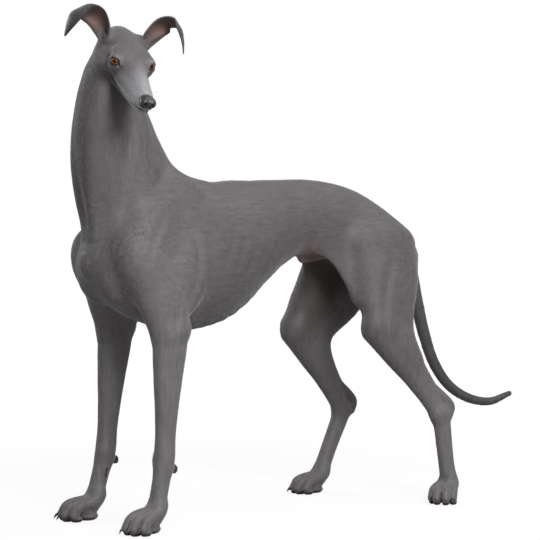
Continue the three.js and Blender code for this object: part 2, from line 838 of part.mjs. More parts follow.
// The mesh with every vertex moved outwards, to cut a seat with a small clearance.
function grown({ points, faces }, amount) {
  const normals = points.map(() => [0, 0, 0]);
  for (const face of faces) {
    const n = cross(minus(points[face[1]], points[face[0]]), minus(points[face[2]], points[face[0]]));
    for (const v of face) normals[v] = normals[v].map((value, i) => value + n[i]);
  }
  const moved = points.map((p, i) => {
    const out = unit(normals[i]);
    return p.map((v, n) => v + out[n] * amount);
  });
  return { points: moved, faces };
}

// Solids

const solidFrom = (vertProperties, triVerts) =>
  new wasm.Manifold(new wasm.Mesh({ numProp: 3, vertProperties, triVerts }));

const solidOf = ({ points, faces }) =>
  solidFrom(Float32Array.from(points.flat()), Uint32Array.from(faces.flat()));

function solidFromGeometry(geometry) {
  for (const name of ["normal", "uv"]) geometry.deleteAttribute(name);
  const merged = mergeVertices(geometry, 1e-4);
  return solidFrom(merged.attributes.position.array, merged.index.array);
}

// All the space past a plane: a block far larger than the animal, with one face in the plane.
function beyond(point, way) {
  const size = 4000;
  const up = new THREE.Vector3(0, 0, 1);
  const turn = new THREE.Quaternion().setFromUnitVectors(up, new THREE.Vector3(...unit(way)));
  const geometry = new THREE.BoxGeometry(size, size, size).translate(0, 0, size / 2 + GAP / 2);
  return solidFromGeometry(geometry.applyQuaternion(turn).translate(...point));
}

// The piece past the plane and the piece before it, with the gap between them.
const parted = (solid, point, way) =>
  [way, scaled(way, -1)].map((towards) => solid.intersect(beyond(point, towards)));

// A side outline [x, z] drawn out across the animal.
function acrossFrom(outline, from, to) {
  const shape = new THREE.Shape(outline.map(([x, z]) => new THREE.Vector2(x, z)));
  const geometry = new THREE.ExtrudeGeometry(shape, { depth: to - from, bevelEnabled: false });
  return solidFromGeometry(geometry.rotateX(Math.PI / 2).translate(0, to, 0));
}

const block = (low, high) => {
  const size = minus(high, low);
  return solidFromGeometry(new THREE.BoxGeometry(...size).translate(...mixed(low, high, 0.5)));
};

// The largest closed surface of a solid.
function largest(solid) {
  return solid.decompose().sort((a, b) => b.volume() - a.volume())[0];
}

// The points and faces of a solid.
function meshOf(solid) {
  const { numProp, vertProperties, triVerts } = solid.getMesh();
  const rowsOf = (values, size) =>
    Array.from({ length: values.length / size }, (_, i) => Array.from(values.slice(i * size, i * size + 3)));
  return { points: rowsOf(vertProperties, numProp), faces: rowsOf(triVerts, 3) };
}

// Nodes

const finish = (name, color, roughness) =>
  new THREE.MeshStandardMaterial({ name, color, roughness, metalness: 0 });
const coat = finish("coat", 0x77757a, 0.75);
const leather = finish("leather", 0x3a3536, 0.5);
const horn = finish("horn", 0x3b3735, 0.45);
const eyeGlass = finish("eye", 0x8a4a17, 0.08);

const group = new THREE.Group();
const body = new THREE.Group();
body.position.set(...ORIGIN);
const head = new THREE.Group();
head.applyMatrix4(headPlace);
body.add(head);
group.add(body);

// A named mesh of a solid, placed at a joint: `at` is a point in the solid's own coordinates.
function addNode(name, solid, material, at = [0, 0, 0], parent = body) {
  const { points, faces } = thinned(meshOf(largest(solid)), 0, FLAT_COST, FLAT_EVENNESS);
  const onFloor = (p) => (parent === body && p[2] < FLOOR_REACH ? [p[0], p[1], 0] : p);
  const places = points.flatMap((p) => minus(onFloor(p), at));
  const geometry = new THREE.BufferGeometry();
  geometry.setAttribute("position", new THREE.Float32BufferAttribute(places, 3));
  geometry.setIndex(faces.flat());
  geometry.computeVertexNormals();
  const mesh = new THREE.Mesh(geometry, material);
  mesh.name = name;
  mesh.position.set(...at);
  parent.add(mesh);
  return mesh;
}

// A closed tapering rod with round sections along a path, for claws: rows of [x, y, z, radius].
// The last row is the tip.
function taperedRod(rows, sides) {
  const curve = new THREE.CatmullRomCurve3(rows.map(([x, y, z]) => new THREE.Vector3(x, y, z)));
  const frames = curve.computeFrenetFrames(rows.length - 1, false);
  const points = [];
  const faces = [];
  rows.slice(0, -1).forEach(([x, y, z, radius], i) => {
    for (let n = 0; n < sides; n++) {
      const turn = (n / sides) * 2 * Math.PI;
      const out = frames.normals[i].clone().multiplyScalar(Math.cos(turn) * radius);
      out.addScaledVector(frames.binormals[i], Math.sin(turn) * radius);
      points.push([x + out.x, y + out.y, z + out.z]);
    }
  });
  const last = rows.length - 2;
  points.push(rows[0].slice(0, 3), rows[last + 1].slice(0, 3));
  const [root, tip] = [points.length - 2, points.length - 1];
  for (let n = 0; n < sides; n++) {
    const m = (n + 1) % sides;
    for (let i = 0; i < last; i++) {
      const [a, b] = [i * sides, (i + 1) * sides];
      faces.push([a + n, a + m, b + m], [a + n, b + m, b + n]);
    }
    faces.push([root, m, n], [tip, last * sides + n, last * sides + m]);
  }
  return { points, faces };
}

// Whole body without head and paws, thinned once, so that its nodes fit along their cuts
const PAW_TOP = 62;
const BODY_BOX = [[-760, -240, PAW_TOP - 20], [500, 240, 1000]];
const HEAD_CUT = { point: scaled([98, 0, -50], HEAD_SIZE), way: [-0.28, 0, -0.96] };
const toWorld = (p) => new THREE.Vector3(...p).applyMatrix4(headPlace).toArray();
const wayToWorld = (p) => new THREE.Vector3(...p).transformDirection(headPlace).toArray();

const bodyMesh = thinned(relaxed(surfaceNet(animal, ...BODY_BOX, 6.5), 2), BODY_TRIANGLES);
let rest = solidOf(bodyMesh).intersect(beyond(toWorld(HEAD_CUT.point), wayToWorld(HEAD_CUT.way)));
rest = rest.intersect(beyond([0, 0, PAW_TOP], [0, 0, 1]));

// Legs come off the trunk by their side outline
const FORE_OUTLINE = [
  [236, 640],
  [262, 676],
  [300, 668],
  [352, 628],
  [412, 596],
  [428, 548],
  [412, 488],
  [372, 440],
  [420, 380],
  [420, 0],
  [220, 0],
  [220, 440],
  [206, 520],
];
const FORE_INSIDE = 62;
const HIND_OUTLINE = [
  [-196, 600],
  [-232, 640],
  [-290, 650],
  [-350, 622],
  [-392, 584],
  [-420, 548],
  [-500, 520],
  [-500, 0],
  [-100, 0],
  [-100, 400],
  [-160, 520],
];
const HIND_INSIDE = 36;
const LEG_REACH = 400; // how far out a leg's block goes

function takeLeg(side, outline, inside) {
  const span = (from) => (side > 0 ? [from, LEG_REACH] : [-LEG_REACH, -from]);
  const leg = rest.intersect(acrossFrom(outline, ...span(inside)));
  rest = rest.subtract(acrossFrom(outsideOf(outline), ...span(inside - GAP)));
  return leg;
}

// The way that halves the bend of a joint, for the cut across it.
const between = (above, joint, below) => mixed(unit(minus(joint, above)), unit(minus(below, joint)), 0.5);

// The outline moved outwards by the gap.
function outsideOf(outline) {
  const area = outline.reduce((sum, [x, z], i) => {
    const [nx, nz] = outline[(i + 1) % outline.length];
    return sum + x * nz - nx * z;
  }, 0);
  const turn = Math.sign(area) * GAP;
  return outline.map(([x, z], i) => {
    const [px, pz] = outline.at(i - 1);
    const [nx, nz] = outline[(i + 1) % outline.length];
    const a = unit([z - pz, px - x]);
    const b = unit([nz - z, x - nx]);
    const share = turn / (1 + dot([...a, 0], [...b, 0]));
    return [x + (a[0] + b[0]) * share, z + (a[1] + b[1]) * share];
  });
}

for (const [name, stance] of Object.entries(FORE_STANCE)) {
  const { side, shoulder, elbow, wrist } = stance;
  const leg = takeLeg(side, FORE_OUTLINE, FORE_INSIDE);
  const [below, upper] = parted(leg, mixed(elbow, wrist, 0.06), between(shoulder, elbow, wrist));
  const [foot, arm] = parted(below, mixed(wrist, elbow, 0.07), minus(wrist, elbow));
  addNode(`fore_${name}_shoulder`, upper, coat, shoulder);
  addNode(`fore_${name}_forearm`, arm, coat, elbow);
  const dew = dewclaw(stance);
  addNode(`fore_${name}_pastern`, foot.subtract(solidOf(grown(dew, GAP))), coat, wrist);
  addNode(`fore_${name}_dewclaw`, solidOf(dew), horn);
  addPaw(`fore_${name}`, stance);
}
for (const [name, stance] of Object.entries(HIND_STANCE)) {
  const { side, hip, knee, hock, knuckle } = stance;
  const leg = takeLeg(side, HIND_OUTLINE, HIND_INSIDE);
  const [below, thigh] = parted(leg, mixed(knee, hock, 0.02), between(hip, knee, hock));
  const [foot, gaskin] = parted(below, mixed(hock, knee, 0.16), between(knee, hock, knuckle));
  addNode(`hind_${name}_thigh`, thigh, coat, hip);
  addNode(`hind_${name}_lower_thigh`, gaskin, coat, knee);
  addNode(`hind_${name}_hock`, foot, coat, hock);
  addPaw(`hind_${name}`, stance);
}

function dewclaw({ side, wrist, knuckle }) {
  const [x, y, z] = mixed(wrist, knuckle, 0.34);
  return taperedRod([
    [x - 4, y - side * 16, z - 2, 3],
    [x, y - side * 21, z - 8, 2.8],
    [x + 3, y - side * 23, z - 14, 2],
    [x + 4, y - side * 22, z - 19, 0],
  ], 6);
}

function addPaw(name, stance) {
  const matrix = pawMatrix(stance);
  const { paw: [x, y], pawSize } = stance;
  const box = [[x - 80, y - 56, -4], [x + 70, y + 56, PAW_TOP + 12]];
  const mesh = thinned(relaxed(surfaceNet(animal, ...box, 2.8), 1), PAW_TRIANGLES);
  let solid = solidOf(mesh).intersect(block([x - 100, y - 100, 0], [x + 100, y + 100, PAW_TOP - GAP / 2]));
  TOES.forEach(({ out, reach }, i) => {
    const rows = [
      [reach + 4, out * 1.05, 17, 3.6],
      [reach + 12, out * 1.07, 14.5, 3.4],
      [reach + 18, out * 1.08, 10, 2.5],
      [reach + 21.5, out * 1.08, 4, 0],
    ];
    const placed = rows.map(([a, b, c, radius]) => {
      const p = new THREE.Vector3(a, b, c).multiplyScalar(pawSize).applyMatrix4(matrix);
      return [p.x, p.y, p.z, radius * pawSize];
    });
    const claw = taperedRod(placed, 6);
    solid = solid.subtract(solidOf(grown(claw, GAP)));
    addNode(`${name}_claw_${i + 1}`, solidOf(claw), horn, [x, y, 0]);
  });
  addNode(`${name}_paw`, solid, coat, [x, y, 0]);
}

const TAIL_CUT = [-421, 0, 566];
const TAIL_WAY = [-0.51, 0, -0.86];
const lift = (point, gap) => point.map((v, i) => v - TAIL_WAY[i] * gap);

// Trunk: neck, chest, loin and rump, then three lengths of tail
const [neck, trunk] = parted(rest, [338, 0, 668], [0.5, 0, 0.86]);
addNode("neck", neck, coat, [338, 0, 668]);
const [chest, behind] = parted(trunk, [10, 0, 600], [1, 0, 0.12]);
addNode("chest", chest, coat, [200, 0, 560]);
const [loin, croup] = parted(behind, [-196, 0, 600], [1, 0, 0]);
addNode("loin", loin, coat, [-100, 0, 620]);
const tailSpace = (gap) => {
  const behindRump = block([-900, -120, 100], [-413 + gap, 120, 640]);
  return beyond(lift(TAIL_CUT, gap), TAIL_WAY).intersect(behindRump);
};
const tail = croup.intersect(tailSpace(0));
addNode("rump", croup.subtract(tailSpace(GAP)), coat, [-300, 0, 600]);
const [tailEnd, tailRoot] = parted(tail, [-476, 0, 404], [-0.3, 0, -0.95]);
const [tailTip, tailMiddle] = parted(tailEnd, [-566, 27, 238], [-0.9, 0.3, -0.3]);
addNode("tail_root", tailRoot, coat, [-412, 0, 580]);
addNode("tail_middle", tailMiddle, coat, [-476, 0, 404]);
addNode("tail_tip", tailTip, coat, [-566, 27, 238]);

// Head with eyes, nose and ears

const HEAD_BOX = [[-75, -85, -80], [300, 85, 75]];
const headMesh = thinned(relaxed(surfaceNet((p) => animal(toWorld(p)), ...HEAD_BOX, 2.7), 1), HEAD_TRIANGLES);
let skull = solidOf(headMesh).intersect(beyond(HEAD_CUT.point, scaled(HEAD_CUT.way, -1)));

const NOSE_BOX = [[240, -30, -30], [310, 30, 30]];
const noseOf = (pieces, cell, triangles) => {
  const field = fieldOf(inHead(pieces, new THREE.Matrix4()));
  return thinned(relaxed(surfaceNet(field, ...NOSE_BOX, cell), 1), triangles);
};
const nose = noseOf(NOSE, 1.5, 340);
const noseSeat = grown(noseOf(NOSE.filter((piece) => !piece.hollow), 1.8, 240), 2 * GAP);
skull = skull.subtract(solidOf(noseSeat));
addNode("nose", solidOf(nose), leather, [0, 0, 0], head);

const mouthLine = sized(MOUTH);
const mouthEdge = (line, rise) => line.map(([x, z]) => [x, z + rise]);
const mouthStrip = [
  ...mouthEdge(mouthLine, MOUTH_OPEN / 2),
  ...mouthEdge(mouthLine.toReversed(), -MOUTH_OPEN / 2),
];
const mouth = acrossFrom(mouthStrip, -70, 70).subtract(solidOf(grown(headMesh, -MOUTH_DEPTH)));
skull = skull.subtract(mouth);

for (const [name, s] of [["left", 1], ["right", -1]]) {
  const at = scaled([EYE.at[0], EYE.at[1] * s, EYE.at[2]], HEAD_SIZE);
  const eyeball = (radius) => solidFromGeometry(new THREE.IcosahedronGeometry(radius, 2).translate(...at));
  skull = skull.subtract(eyeball(EYE.radius * HEAD_SIZE + GAP));
  addNode(`eye_${name}`, eyeball(EYE.radius * HEAD_SIZE), eyeGlass, at, head);
  const ear = solidOf(earMesh(s)).subtract(solidOf(grown(headMesh, GAP)));
  addNode(`ear_${name}`, ear, coat, scaled(EAR[0].at.map((v, i) => (i === 1 ? v * s : v)), HEAD_SIZE), head);
}
addNode("head", skull, coat, [0, 0, 0], head);

export default group;
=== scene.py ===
# Greyhound standing on four feet, head high and turned to its left, in a short blue-grey coat.
# The animal looks along +X, its left side is +Y and the floor is Z = 0.
#
# The skin is one surface over melted tubes and balls, which stand for muscles and bones. It is drawn in
# millimetres from the drawing's own zero, and moved to the frame's place in metres at the end.

import math
from contextlib import contextmanager

import bmesh
import bpy
import numpy as np
from mathutils import Euler, Matrix, Vector
from mathutils.bvhtree import BVHTree


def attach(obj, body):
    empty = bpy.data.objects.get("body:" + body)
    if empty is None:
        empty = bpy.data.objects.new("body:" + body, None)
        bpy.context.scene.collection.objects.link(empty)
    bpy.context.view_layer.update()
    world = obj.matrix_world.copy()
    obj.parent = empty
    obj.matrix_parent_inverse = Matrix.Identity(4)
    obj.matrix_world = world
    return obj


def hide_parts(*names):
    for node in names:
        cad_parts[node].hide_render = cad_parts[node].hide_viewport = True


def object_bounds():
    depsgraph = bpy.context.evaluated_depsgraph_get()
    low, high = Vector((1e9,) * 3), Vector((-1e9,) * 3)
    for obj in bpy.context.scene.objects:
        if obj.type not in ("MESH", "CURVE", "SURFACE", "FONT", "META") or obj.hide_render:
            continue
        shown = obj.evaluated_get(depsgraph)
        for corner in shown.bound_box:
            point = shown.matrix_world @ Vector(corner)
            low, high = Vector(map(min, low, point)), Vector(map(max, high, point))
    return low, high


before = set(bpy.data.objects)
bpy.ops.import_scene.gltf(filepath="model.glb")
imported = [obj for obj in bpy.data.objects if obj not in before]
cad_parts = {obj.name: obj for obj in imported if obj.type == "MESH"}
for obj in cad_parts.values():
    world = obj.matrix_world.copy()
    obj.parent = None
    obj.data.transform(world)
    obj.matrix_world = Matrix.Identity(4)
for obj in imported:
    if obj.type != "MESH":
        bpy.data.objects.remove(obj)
CAD_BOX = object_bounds()

# Driving sizes, in millimetres
ORIGIN = np.array([102.0, -22.0, 0.0])  # the drawing's own zero in the frame
BOX = [np.array(corner) * 1000 - ORIGIN for corner in CAD_BOX]  # nothing reaches out of it
COAT_DEPTH = 1.0  # how far the skin lies under the drawn surface, which leaves the coat its room
COARSER = 1
BODY_CELL = 4.0 * COARSER
HEAD_CELL = 1.5
PAW_CELL = 2.2
BODY_FACES, HEAD_FACES, PAW_FACES = int(80_000 / COARSER**2), 78_000, 8_500
MAP_FACES = 1500  # in the coarse copy that a coat's map is laid out from
TUBE_STEPS = 6  # straight lengths between two stations of a tube
SIZE_SWING = 0.4  # how freely the sizes of a tube swing through its stations
ROOM = 1.05  # boxes are so much larger than the pieces in them
FAR = 1000.0
GROUP_SIZE = 36.0  # points are looked up in groups of this size

# Joints of the legs, which set the stance
FORE_STANCE = {
    "left": dict(
        side=1, shoulder=(356, 84, 556), elbow=(302, 102, 408), wrist=(322, 110, 142),
        knuckle=(343, 114, 50), paw=(368, 115), turn=6, size=1,
    ),
    "right": dict(
        side=-1, shoulder=(358, -84, 556), elbow=(306, -102, 408), wrist=(326, -110, 140),
        knuckle=(350, -114, 50), paw=(377, -116), turn=-16, size=1,
    ),
}
HIND_STANCE = {
    "left": dict(
        side=1, hip=(-296, 62, 588), knee=(-260, 100, 402), hock=(-402, 147, 200),
        knuckle=(-424, 157, 48), paw=(-408, 162), turn=34, size=0.95,
        ham=((-396, 556), (-364, 495), (-340, 435), (-334, 380), (-345, 330)),
    ),
    "right": dict(
        side=-1, hip=(-292, -62, 588), knee=(-180, -96, 394), hock=(-348, -138, 194),
        knuckle=(-294, -146, 48), paw=(-266, -148), turn=-8, size=0.95,
        ham=((-396, 556), (-362, 500), (-318, 440), (-268, 385), (-262, 335)),
    ),
}

# The muscle behind the thigh, from the seat bone down: distance from the middle, half width, half depth
HAM = ((40, 26, 24), (62, 30, 32), (84, 29, 32), (102, 24, 28), (116, 17, 20))

# The head looks to the animal's left, down a little, and leans to that side
HEAD_PLACE = np.array([356.0, -14.0, 1004.0])
HEAD_TURN = 72
HEAD_NOD = 30
HEAD_LEAN = 7
HEAD_SIZE = 1.08
HEAD_AXES = np.array(
    Euler([math.radians(a) for a in (-HEAD_LEAN, HEAD_NOD, HEAD_TURN)], "XYZ").to_matrix()
)

# The eyeball, and the way it looks: so many degrees out from the nose and up
EYE_AT = np.array([118.0, 33.0, 14.0])
EYE_RADIUS = 11.0
EYE_OUT = 36
EYE_UP = 8
LID = 2.4


# Field: the distance to each piece, for many points at once


def unit(v):
    return v / np.linalg.norm(v, axis=-1, keepdims=True)


def oval_distance(u, v, w, a, b, c):
    """Distance of points to an oval of three half sizes, near enough for blending."""
    u, v, w = u / a, v / b, w / c
    k0 = np.sqrt(u * u + v * v + w * w)
    u, v, w = u / a, v / b, w / c
    k1 = np.sqrt(u * u + v * v + w * w) + 1e-9
    return k0 * (k0 - 1) / k1


def curve_through(stations, count, centripetal):
    """Points on a smooth curve through the stations, evenly spaced in steps."""
    s = np.array(stations, float)
    s = np.vstack([2 * s[0] - s[1], s, 2 * s[-1] - s[-2]])
    t = np.linspace(0, len(stations) - 1, count + 1)
    i = np.minimum(t.astype(int), len(stations) - 2)
    t = (t - i)[:, None]
    a, b, c, d = s[i], s[i + 1], s[i + 2], s[i + 3]
    if centripetal:
        ab, bc, cd = (np.linalg.norm(step, axis=1, keepdims=True) ** 0.5 for step in (b - a, c - b, d - c))
        start = ((b - a) / ab - (c - a) / (ab + bc) + (c - b) / bc) * bc
        end = ((c - b) / bc - (d - b) / (bc + cd) + (d - c) / cd) * bc
    else:
        start, end = SIZE_SWING * (c - a), SIZE_SWING * (d - b)
    return b + start * t + (3 * (c - b) - 2 * start - end) * t**2 + (2 * (b - c) + start + end) * t**3


class Ball:
    """An oval ball. turn is (yaw, pitch, roll) in degrees."""

    def __init__(self, melt, at, sizes, turn=(0, 0, 0), hollow=False):
        self.melt, self.hollow = melt, hollow
        self.at = np.array(at, float)
        self.sizes = np.array(sizes, float)
        self.axes = np.array(Euler([math.radians(a) for a in reversed(turn)], "XYZ").to_matrix())

    def carried(self, axes, place, size):
        self.at = axes @ (self.at * size) + place
        self.sizes = self.sizes * size
        self.axes = axes @ self.axes
        return self

    def box(self):
        reach = self.sizes.max() * ROOM
        return self.at - reach, self.at + reach

    def distance(self, points, most):
        local = (points - self.at) @ self.axes
        return oval_distance(*local.T, *self.sizes)


class Tube:
    """A tube through stations (x, y, z, half width, half depth). side is the direction of its width."""

    def __init__(self, melt, stations, side=(0, 1, 0), end_side=None, hollow=False, steps=TUBE_STEPS):
        self.melt, self.hollow, self.steps = melt, hollow, steps
        self.stations = np.array(stations, float)
        self.side = np.array(side, float)
        self.end_side = np.array(side if end_side is None else end_side, float)

    def carried(self, axes, place, size):
        self.stations = self.stations * size
        self.stations[:, :3] = self.stations[:, :3] @ axes.T + place
        self.side, self.end_side = axes @ self.side, axes @ self.end_side
        return self

    def box(self):
        reach = self.stations[:, 3:].max() * ROOM
        return self.stations[:, :3].min(0) - reach, self.stations[:, :3].max(0) + reach

    def ready(self):
        """The tube as short straight lengths: where each starts, its run, its own axes and its sizes."""
        count = (len(self.stations) - 1) * self.steps
        centre = curve_through(self.stations[:, :3], count, True)
        sizes = curve_through(self.stations[:, 3:], count, False)
        share = (np.arange(count)[:, None] + 0.5) / count
        run = centre[1:] - centre[:-1]
        along = unit(run)
        deep = unit(np.cross(along, self.side * (1 - share) + self.end_side * share))
        self.square = (run * run).sum(1)
        # One row for each number that a length needs: start, run, width way, depth way, sizes, growth
        parts = (centre[:-1], run, np.cross(deep, along), deep, along, sizes[:-1], np.diff(sizes, axis=0))
        self.rows = np.vstack([part.T for part in parts])
        self.middle = centre[:-1] + run / 2
        self.reach = np.linalg.norm(run, axis=1) / 2 + np.maximum(sizes[:-1], sizes[1:]).max(1)
        self.least = np.minimum(sizes[:-1], sizes[1:]).min(1)

    def distance(self, points, most):
        """Only the lengths that can be nearest to one of the points count, and those within `most`."""
        if not hasattr(self, "rows"):
            self.ready()
        centre = (points.min(0) + points.max(0)) / 2
        around = np.linalg.norm(points - centre, axis=1).max()
        away = np.linalg.norm(self.middle - centre, axis=1)
        nearest = (away + around - self.least).min()
        keep = np.flatnonzero(away - self.reach - around < min(nearest, most))
        if not len(keep):
            return np.full(len(points), FAR)
        rows = self.rows[:, keep]
        sx, sy, sz, rx, ry, rz, wx, wy, wz, dx, dy, dz, ax, ay, az, wide, deep, wider, deeper = rows
        x, y, z = points.T[..., None]
        x, y, z = x - sx, y - sy, z - sz
        t = np.clip((x * rx + y * ry + z * rz) / self.square[keep], 0, 1)
        x, y, z = x - t * rx, y - t * ry, z - t * rz
        wide, deep = wide + wider * t, deep + deeper * t
        d = oval_distance(
            x * wx + y * wy + z * wz, x * dx + y * dy + z * dz, x * ax + y * ay + z * az,
            wide, deep, np.minimum(wide, deep),
        )
        return d.min(1)


class Group:
    """Pieces melted among themselves first, so that their creases stay when they melt into the rest."""

    hollow = False

    def __init__(self, melt, pieces):
        self.melt = melt
        self.field = Field(pieces)

    def box(self):
        return self.field.low, self.field.high

    def distance(self, points, most):
        return self.field.near(points)


def melted(a, b, k):
    """Smooth union: the two surfaces melt into each other over the length k."""
    h = np.maximum(k - np.abs(a - b), 0) / k
    return np.minimum(a, b) - h * h * k / 4


class Field:
    """The distance to all pieces together. Hollow pieces are taken away, in the order of the list."""

    def __init__(self, pieces):
        self.pieces = pieces
        self.lows, self.highs = (np.array(corners) for corners in zip(*[piece.box() for piece in pieces]))
        self.low, self.high = self.lows.min(0), self.highs.max(0)

    def __call__(self, points):
        """Points are taken in groups that lie close together, and each group meets only a few pieces."""
        found = np.empty(len(points))
        if not len(points):
            return found
        cell = np.floor(points / GROUP_SIZE).astype(int)
        order = np.lexsort(cell.T)
        ends = np.flatnonzero((np.diff(cell[order], axis=0) != 0).any(1)) + 1
        for part in np.split(order, ends):
            found[part] = self.near(points[part])
        return found

    def near(self, points):
        d = np.full(len(points), FAR)
        least = most = FAR
        low, high = points.min(0), points.max(0)
        away = np.maximum(np.maximum(self.lows - high, low - self.highs), 0)
        away = np.sqrt((away * away).sum(1)).tolist()
        for piece, gap in zip(self.pieces, away):
            if piece.hollow:
                if gap >= piece.melt - least:
                    continue
                d = -melted(-d, piece.distance(points, FAR), piece.melt)
            else:
                if gap >= most + piece.melt:
                    continue
                d = melted(d, piece.distance(points, most + piece.melt), piece.melt)
            least, most = d.min(), d.max()
        return d


def mirrored(make):
    return [piece for side in (1, -1) for piece in make(side)]


# Trunk and neck

TRUNK = [
    Tube(30, [
        (418, 0, 548, 34, 44), (370, 0, 552, 72, 92), (304, 0, 558, 90, 136), (230, 0, 565, 98, 163),
        (150, 0, 570, 102, 157), (70, 0, 601, 100, 127), (0, 0, 625, 90, 103), (-70, 0, 642, 77, 88),
        (-150, 0, 645, 66, 85), (-230, 0, 634, 66, 82), (-300, 0, 608, 70, 76), (-360, 0, 578, 62, 62),
        (-396, 0, 566, 42, 44),
    ]),
]

NECK = [
    Tube(
        46,
        [
            (266, 0, 600, 78, 118), (316, 0, 668, 78, 118), (350, -2, 740, 75, 112),
            (368, -6, 810, 71, 101), (374, -11, 880, 62, 84), (373, -9, 938, 53, 64),
            (369, 2, 982, 44, 46),
        ],
        (0, 1, 0), (-0.6, 0.8, 0),
        steps=14,
    ),
]

SHOULDERS = mirrored(lambda s: [
    Ball(34, (372, s * 80, 556), (48, 42, 66), (0, 16, 0)),
    Ball(22, (390, s * 36, 520), (42, 36, 56), (0, 12, 0)),
    Ball(20, (262, s * 82, 512), (60, 30, 92), (0, -18, 0)),
])

NECK_MUSCLES = mirrored(lambda s: [
    Tube(24, [
        (404, s * 26, 940, 10, 12), (424, s * 30, 860, 12, 15), (438, s * 28, 770, 13, 17),
        (432, s * 22, 680, 13, 18), (420, s * 14, 610, 10, 14),
    ]),
    Tube(24, [
        (352, s * 36, 900, 14, 20), (346, s * 48, 800, 16, 24), (338, s * 57, 710, 18, 28),
        (350, s * 70, 630, 18, 26),
    ]),
])

FLANKS = mirrored(lambda s: [
    Tube(28, [
        (-130, s * 48, 592, 8, 24), (-184, s * 54, 568, 9, 32), (-214, s * 62, 526, 10, 32),
        (-236, s * 72, 470, 12, 26),
    ]),
])

RUMP = mirrored(lambda s: [
    Ball(30, (-296, s * 42, 604), (78, 34, 52), (0, -14, 0)),
    Ball(24, (-350, s * 34, 562), (54, 34, 46), (0, -30, 0)),
])

TAIL = [
    Tube(24, [
        (-372, 0, 600, 24, 26), (-408, 0, 584, 22, 23), (-440, 0, 530, 18, 19), (-464, 0, 452, 16, 16),
        (-486, 2, 376, 14.5, 14.5), (-512, 8, 306, 13.5, 13.5), (-548, 20, 252, 12.5, 12.5),
        (-594, 38, 220, 11.5, 11.5), (-646, 58, 210, 10, 10), (-693.5, 75, 227, 7, 7),
    ]),
]

SHEATH = [
    Tube(16, [(-210, 0, 574, 9, 9), (-160, 0, 560, 11, 12), (-122, 0, 553, 9, 10)]),
]


# Legs


def mixed(a, b, share):
    return np.array(a, float) * (1 - share) + np.array(b, float) * share


def flesh(start, end, rows):
    """Stations between two joints. Rows are share of the way, half width, half depth, forward shift."""
    stations = []
    for share, wide, deep, ahead in rows:
        x, y, z = mixed(start, end, share)
        stations.append((x + ahead, y, z, wide, deep))
    return stations


def wrist_pad(wrist):
    return Ball(7, (wrist[0] - 25, wrist[1], wrist[2] - 16), (8, 7.5, 11))


def foreleg(side, shoulder, elbow, wrist, knuckle, **_):
    forearm = flesh(elbow, wrist, [
        (0, 27, 42, -2), (0.16, 26, 39, -1), (0.38, 23, 33, 0), (0.6, 20, 27, 0), (0.8, 18, 23.5, 0),
        (0.95, 19.5, 24, 0),
    ])
    pastern = flesh(wrist, knuckle, [
        (0.1, 19.5, 23.5, 0), (0.4, 17.5, 20, 0), (0.8, 19, 19, 0), (1, 22, 20, 0),
    ])
    blade = [(236, side * 50, 700, 22, 40), (286, side * 64, 650, 30, 48), (332, side * 76, 600, 36, 50)]
    return [
        Tube(30, blade + flesh(shoulder, elbow, [(0, 38, 48, -4), (0.5, 37, 50, -2), (1, 29, 43, 0)])),
        Tube(16, forearm + pastern),
        Ball(12, (elbow[0] - 34, elbow[1], elbow[2] + 6), (15, 11, 24), (0, -10, 0)),
        wrist_pad(wrist),
        Ball(10, (wrist[0] + 10, wrist[1] - side * 8, wrist[2] + 4), (10, 10, 16)),
    ]


def hindleg(side, hip, knee, hock, knuckle, ham, **_):
    heel = np.array([hock[0] - 36, hock[1] - side, hock[2] + 16])
    return [
        Tube(34, flesh(hip, knee, [
            (0, 44, 88, -8), (0.4, 45, 84, -22), (0.75, 39, 66, -16), (1, 31, 44, -6),
        ])),
        Tube(26, [(x, side * out, z, wide, deep) for (x, z), (out, wide, deep) in zip(ham, HAM)]),
        Tube(20, flesh(knee, hock, [
            (0, 31, 44, 0), (0.3, 29, 43, -12), (0.6, 22, 32, -11), (0.85, 17.5, 23, -4), (1, 18, 21, 0),
        ])),
        Tube(12, [
            (*mixed(knee, heel, 0.42), 11, 15), (*mixed(knee, heel, 0.72), 8, 11), (*heel, 10, 12),
            (heel[0] + 6, heel[1], heel[2] - 18, 10, 12),
        ]),
        Tube(14, flesh(hock, knuckle, [
            (0, 18.5, 26, -5), (0.2, 17, 22.5, -5), (0.5, 16, 21, -2), (0.8, 17, 20, 0), (1, 22, 21, 0),
        ])),
    ]


# Paws: side, distance out, reach forward and half width of each toe
TOES = ((-1, 25, 27, 10.5), (-1, 10.5, 42, 11), (1, 10.5, 42, 11), (1, 25, 27, 10.5))


def paw_axes(turn):
    return np.array(Matrix.Rotation(math.radians(turn), 3, "Z"))


def paw(paw, turn, size, **_):
    """A paw, drawn with its toes forward and its sole on the floor."""
    pieces = []
    for side, out, reach, wide in TOES:
        y = side * out
        pieces.append(Tube(2.5, [
            (-16, y * 0.62, 40, wide + 2, 13), (reach - 26, y * 0.85, 37, wide, 12.5),
            (reach - 8, y, 30, wide, 12), (reach + 2, y * 1.04, 15, wide - 1, 11),
        ]))
    pieces.append(Tube(8, [(-30, 0, 54, 21, 19), (-20, 0, 36, 24, 19), (-12, 0, 22, 21, 15)]))
    pieces.append(Ball(6, (-7, 0, 9), (24, 21, 12)))
    pieces.append(Ball(8, (2, 0, 22), (24, 22, 13)))
    for side, out, reach, _ in TOES:
        pieces.append(Ball(2.5, (reach - 5, side * out, 6), (13, 8.5, 8)))
    place = np.array([*paw, 0.0])
    return Group(10, [piece.carried(paw_axes(turn), place, size) for piece in pieces])


# Head, in its own frame: nose along +X, origin at the nape


def in_head(piece):
    return piece.carried(HEAD_AXES, HEAD_PLACE, HEAD_SIZE)


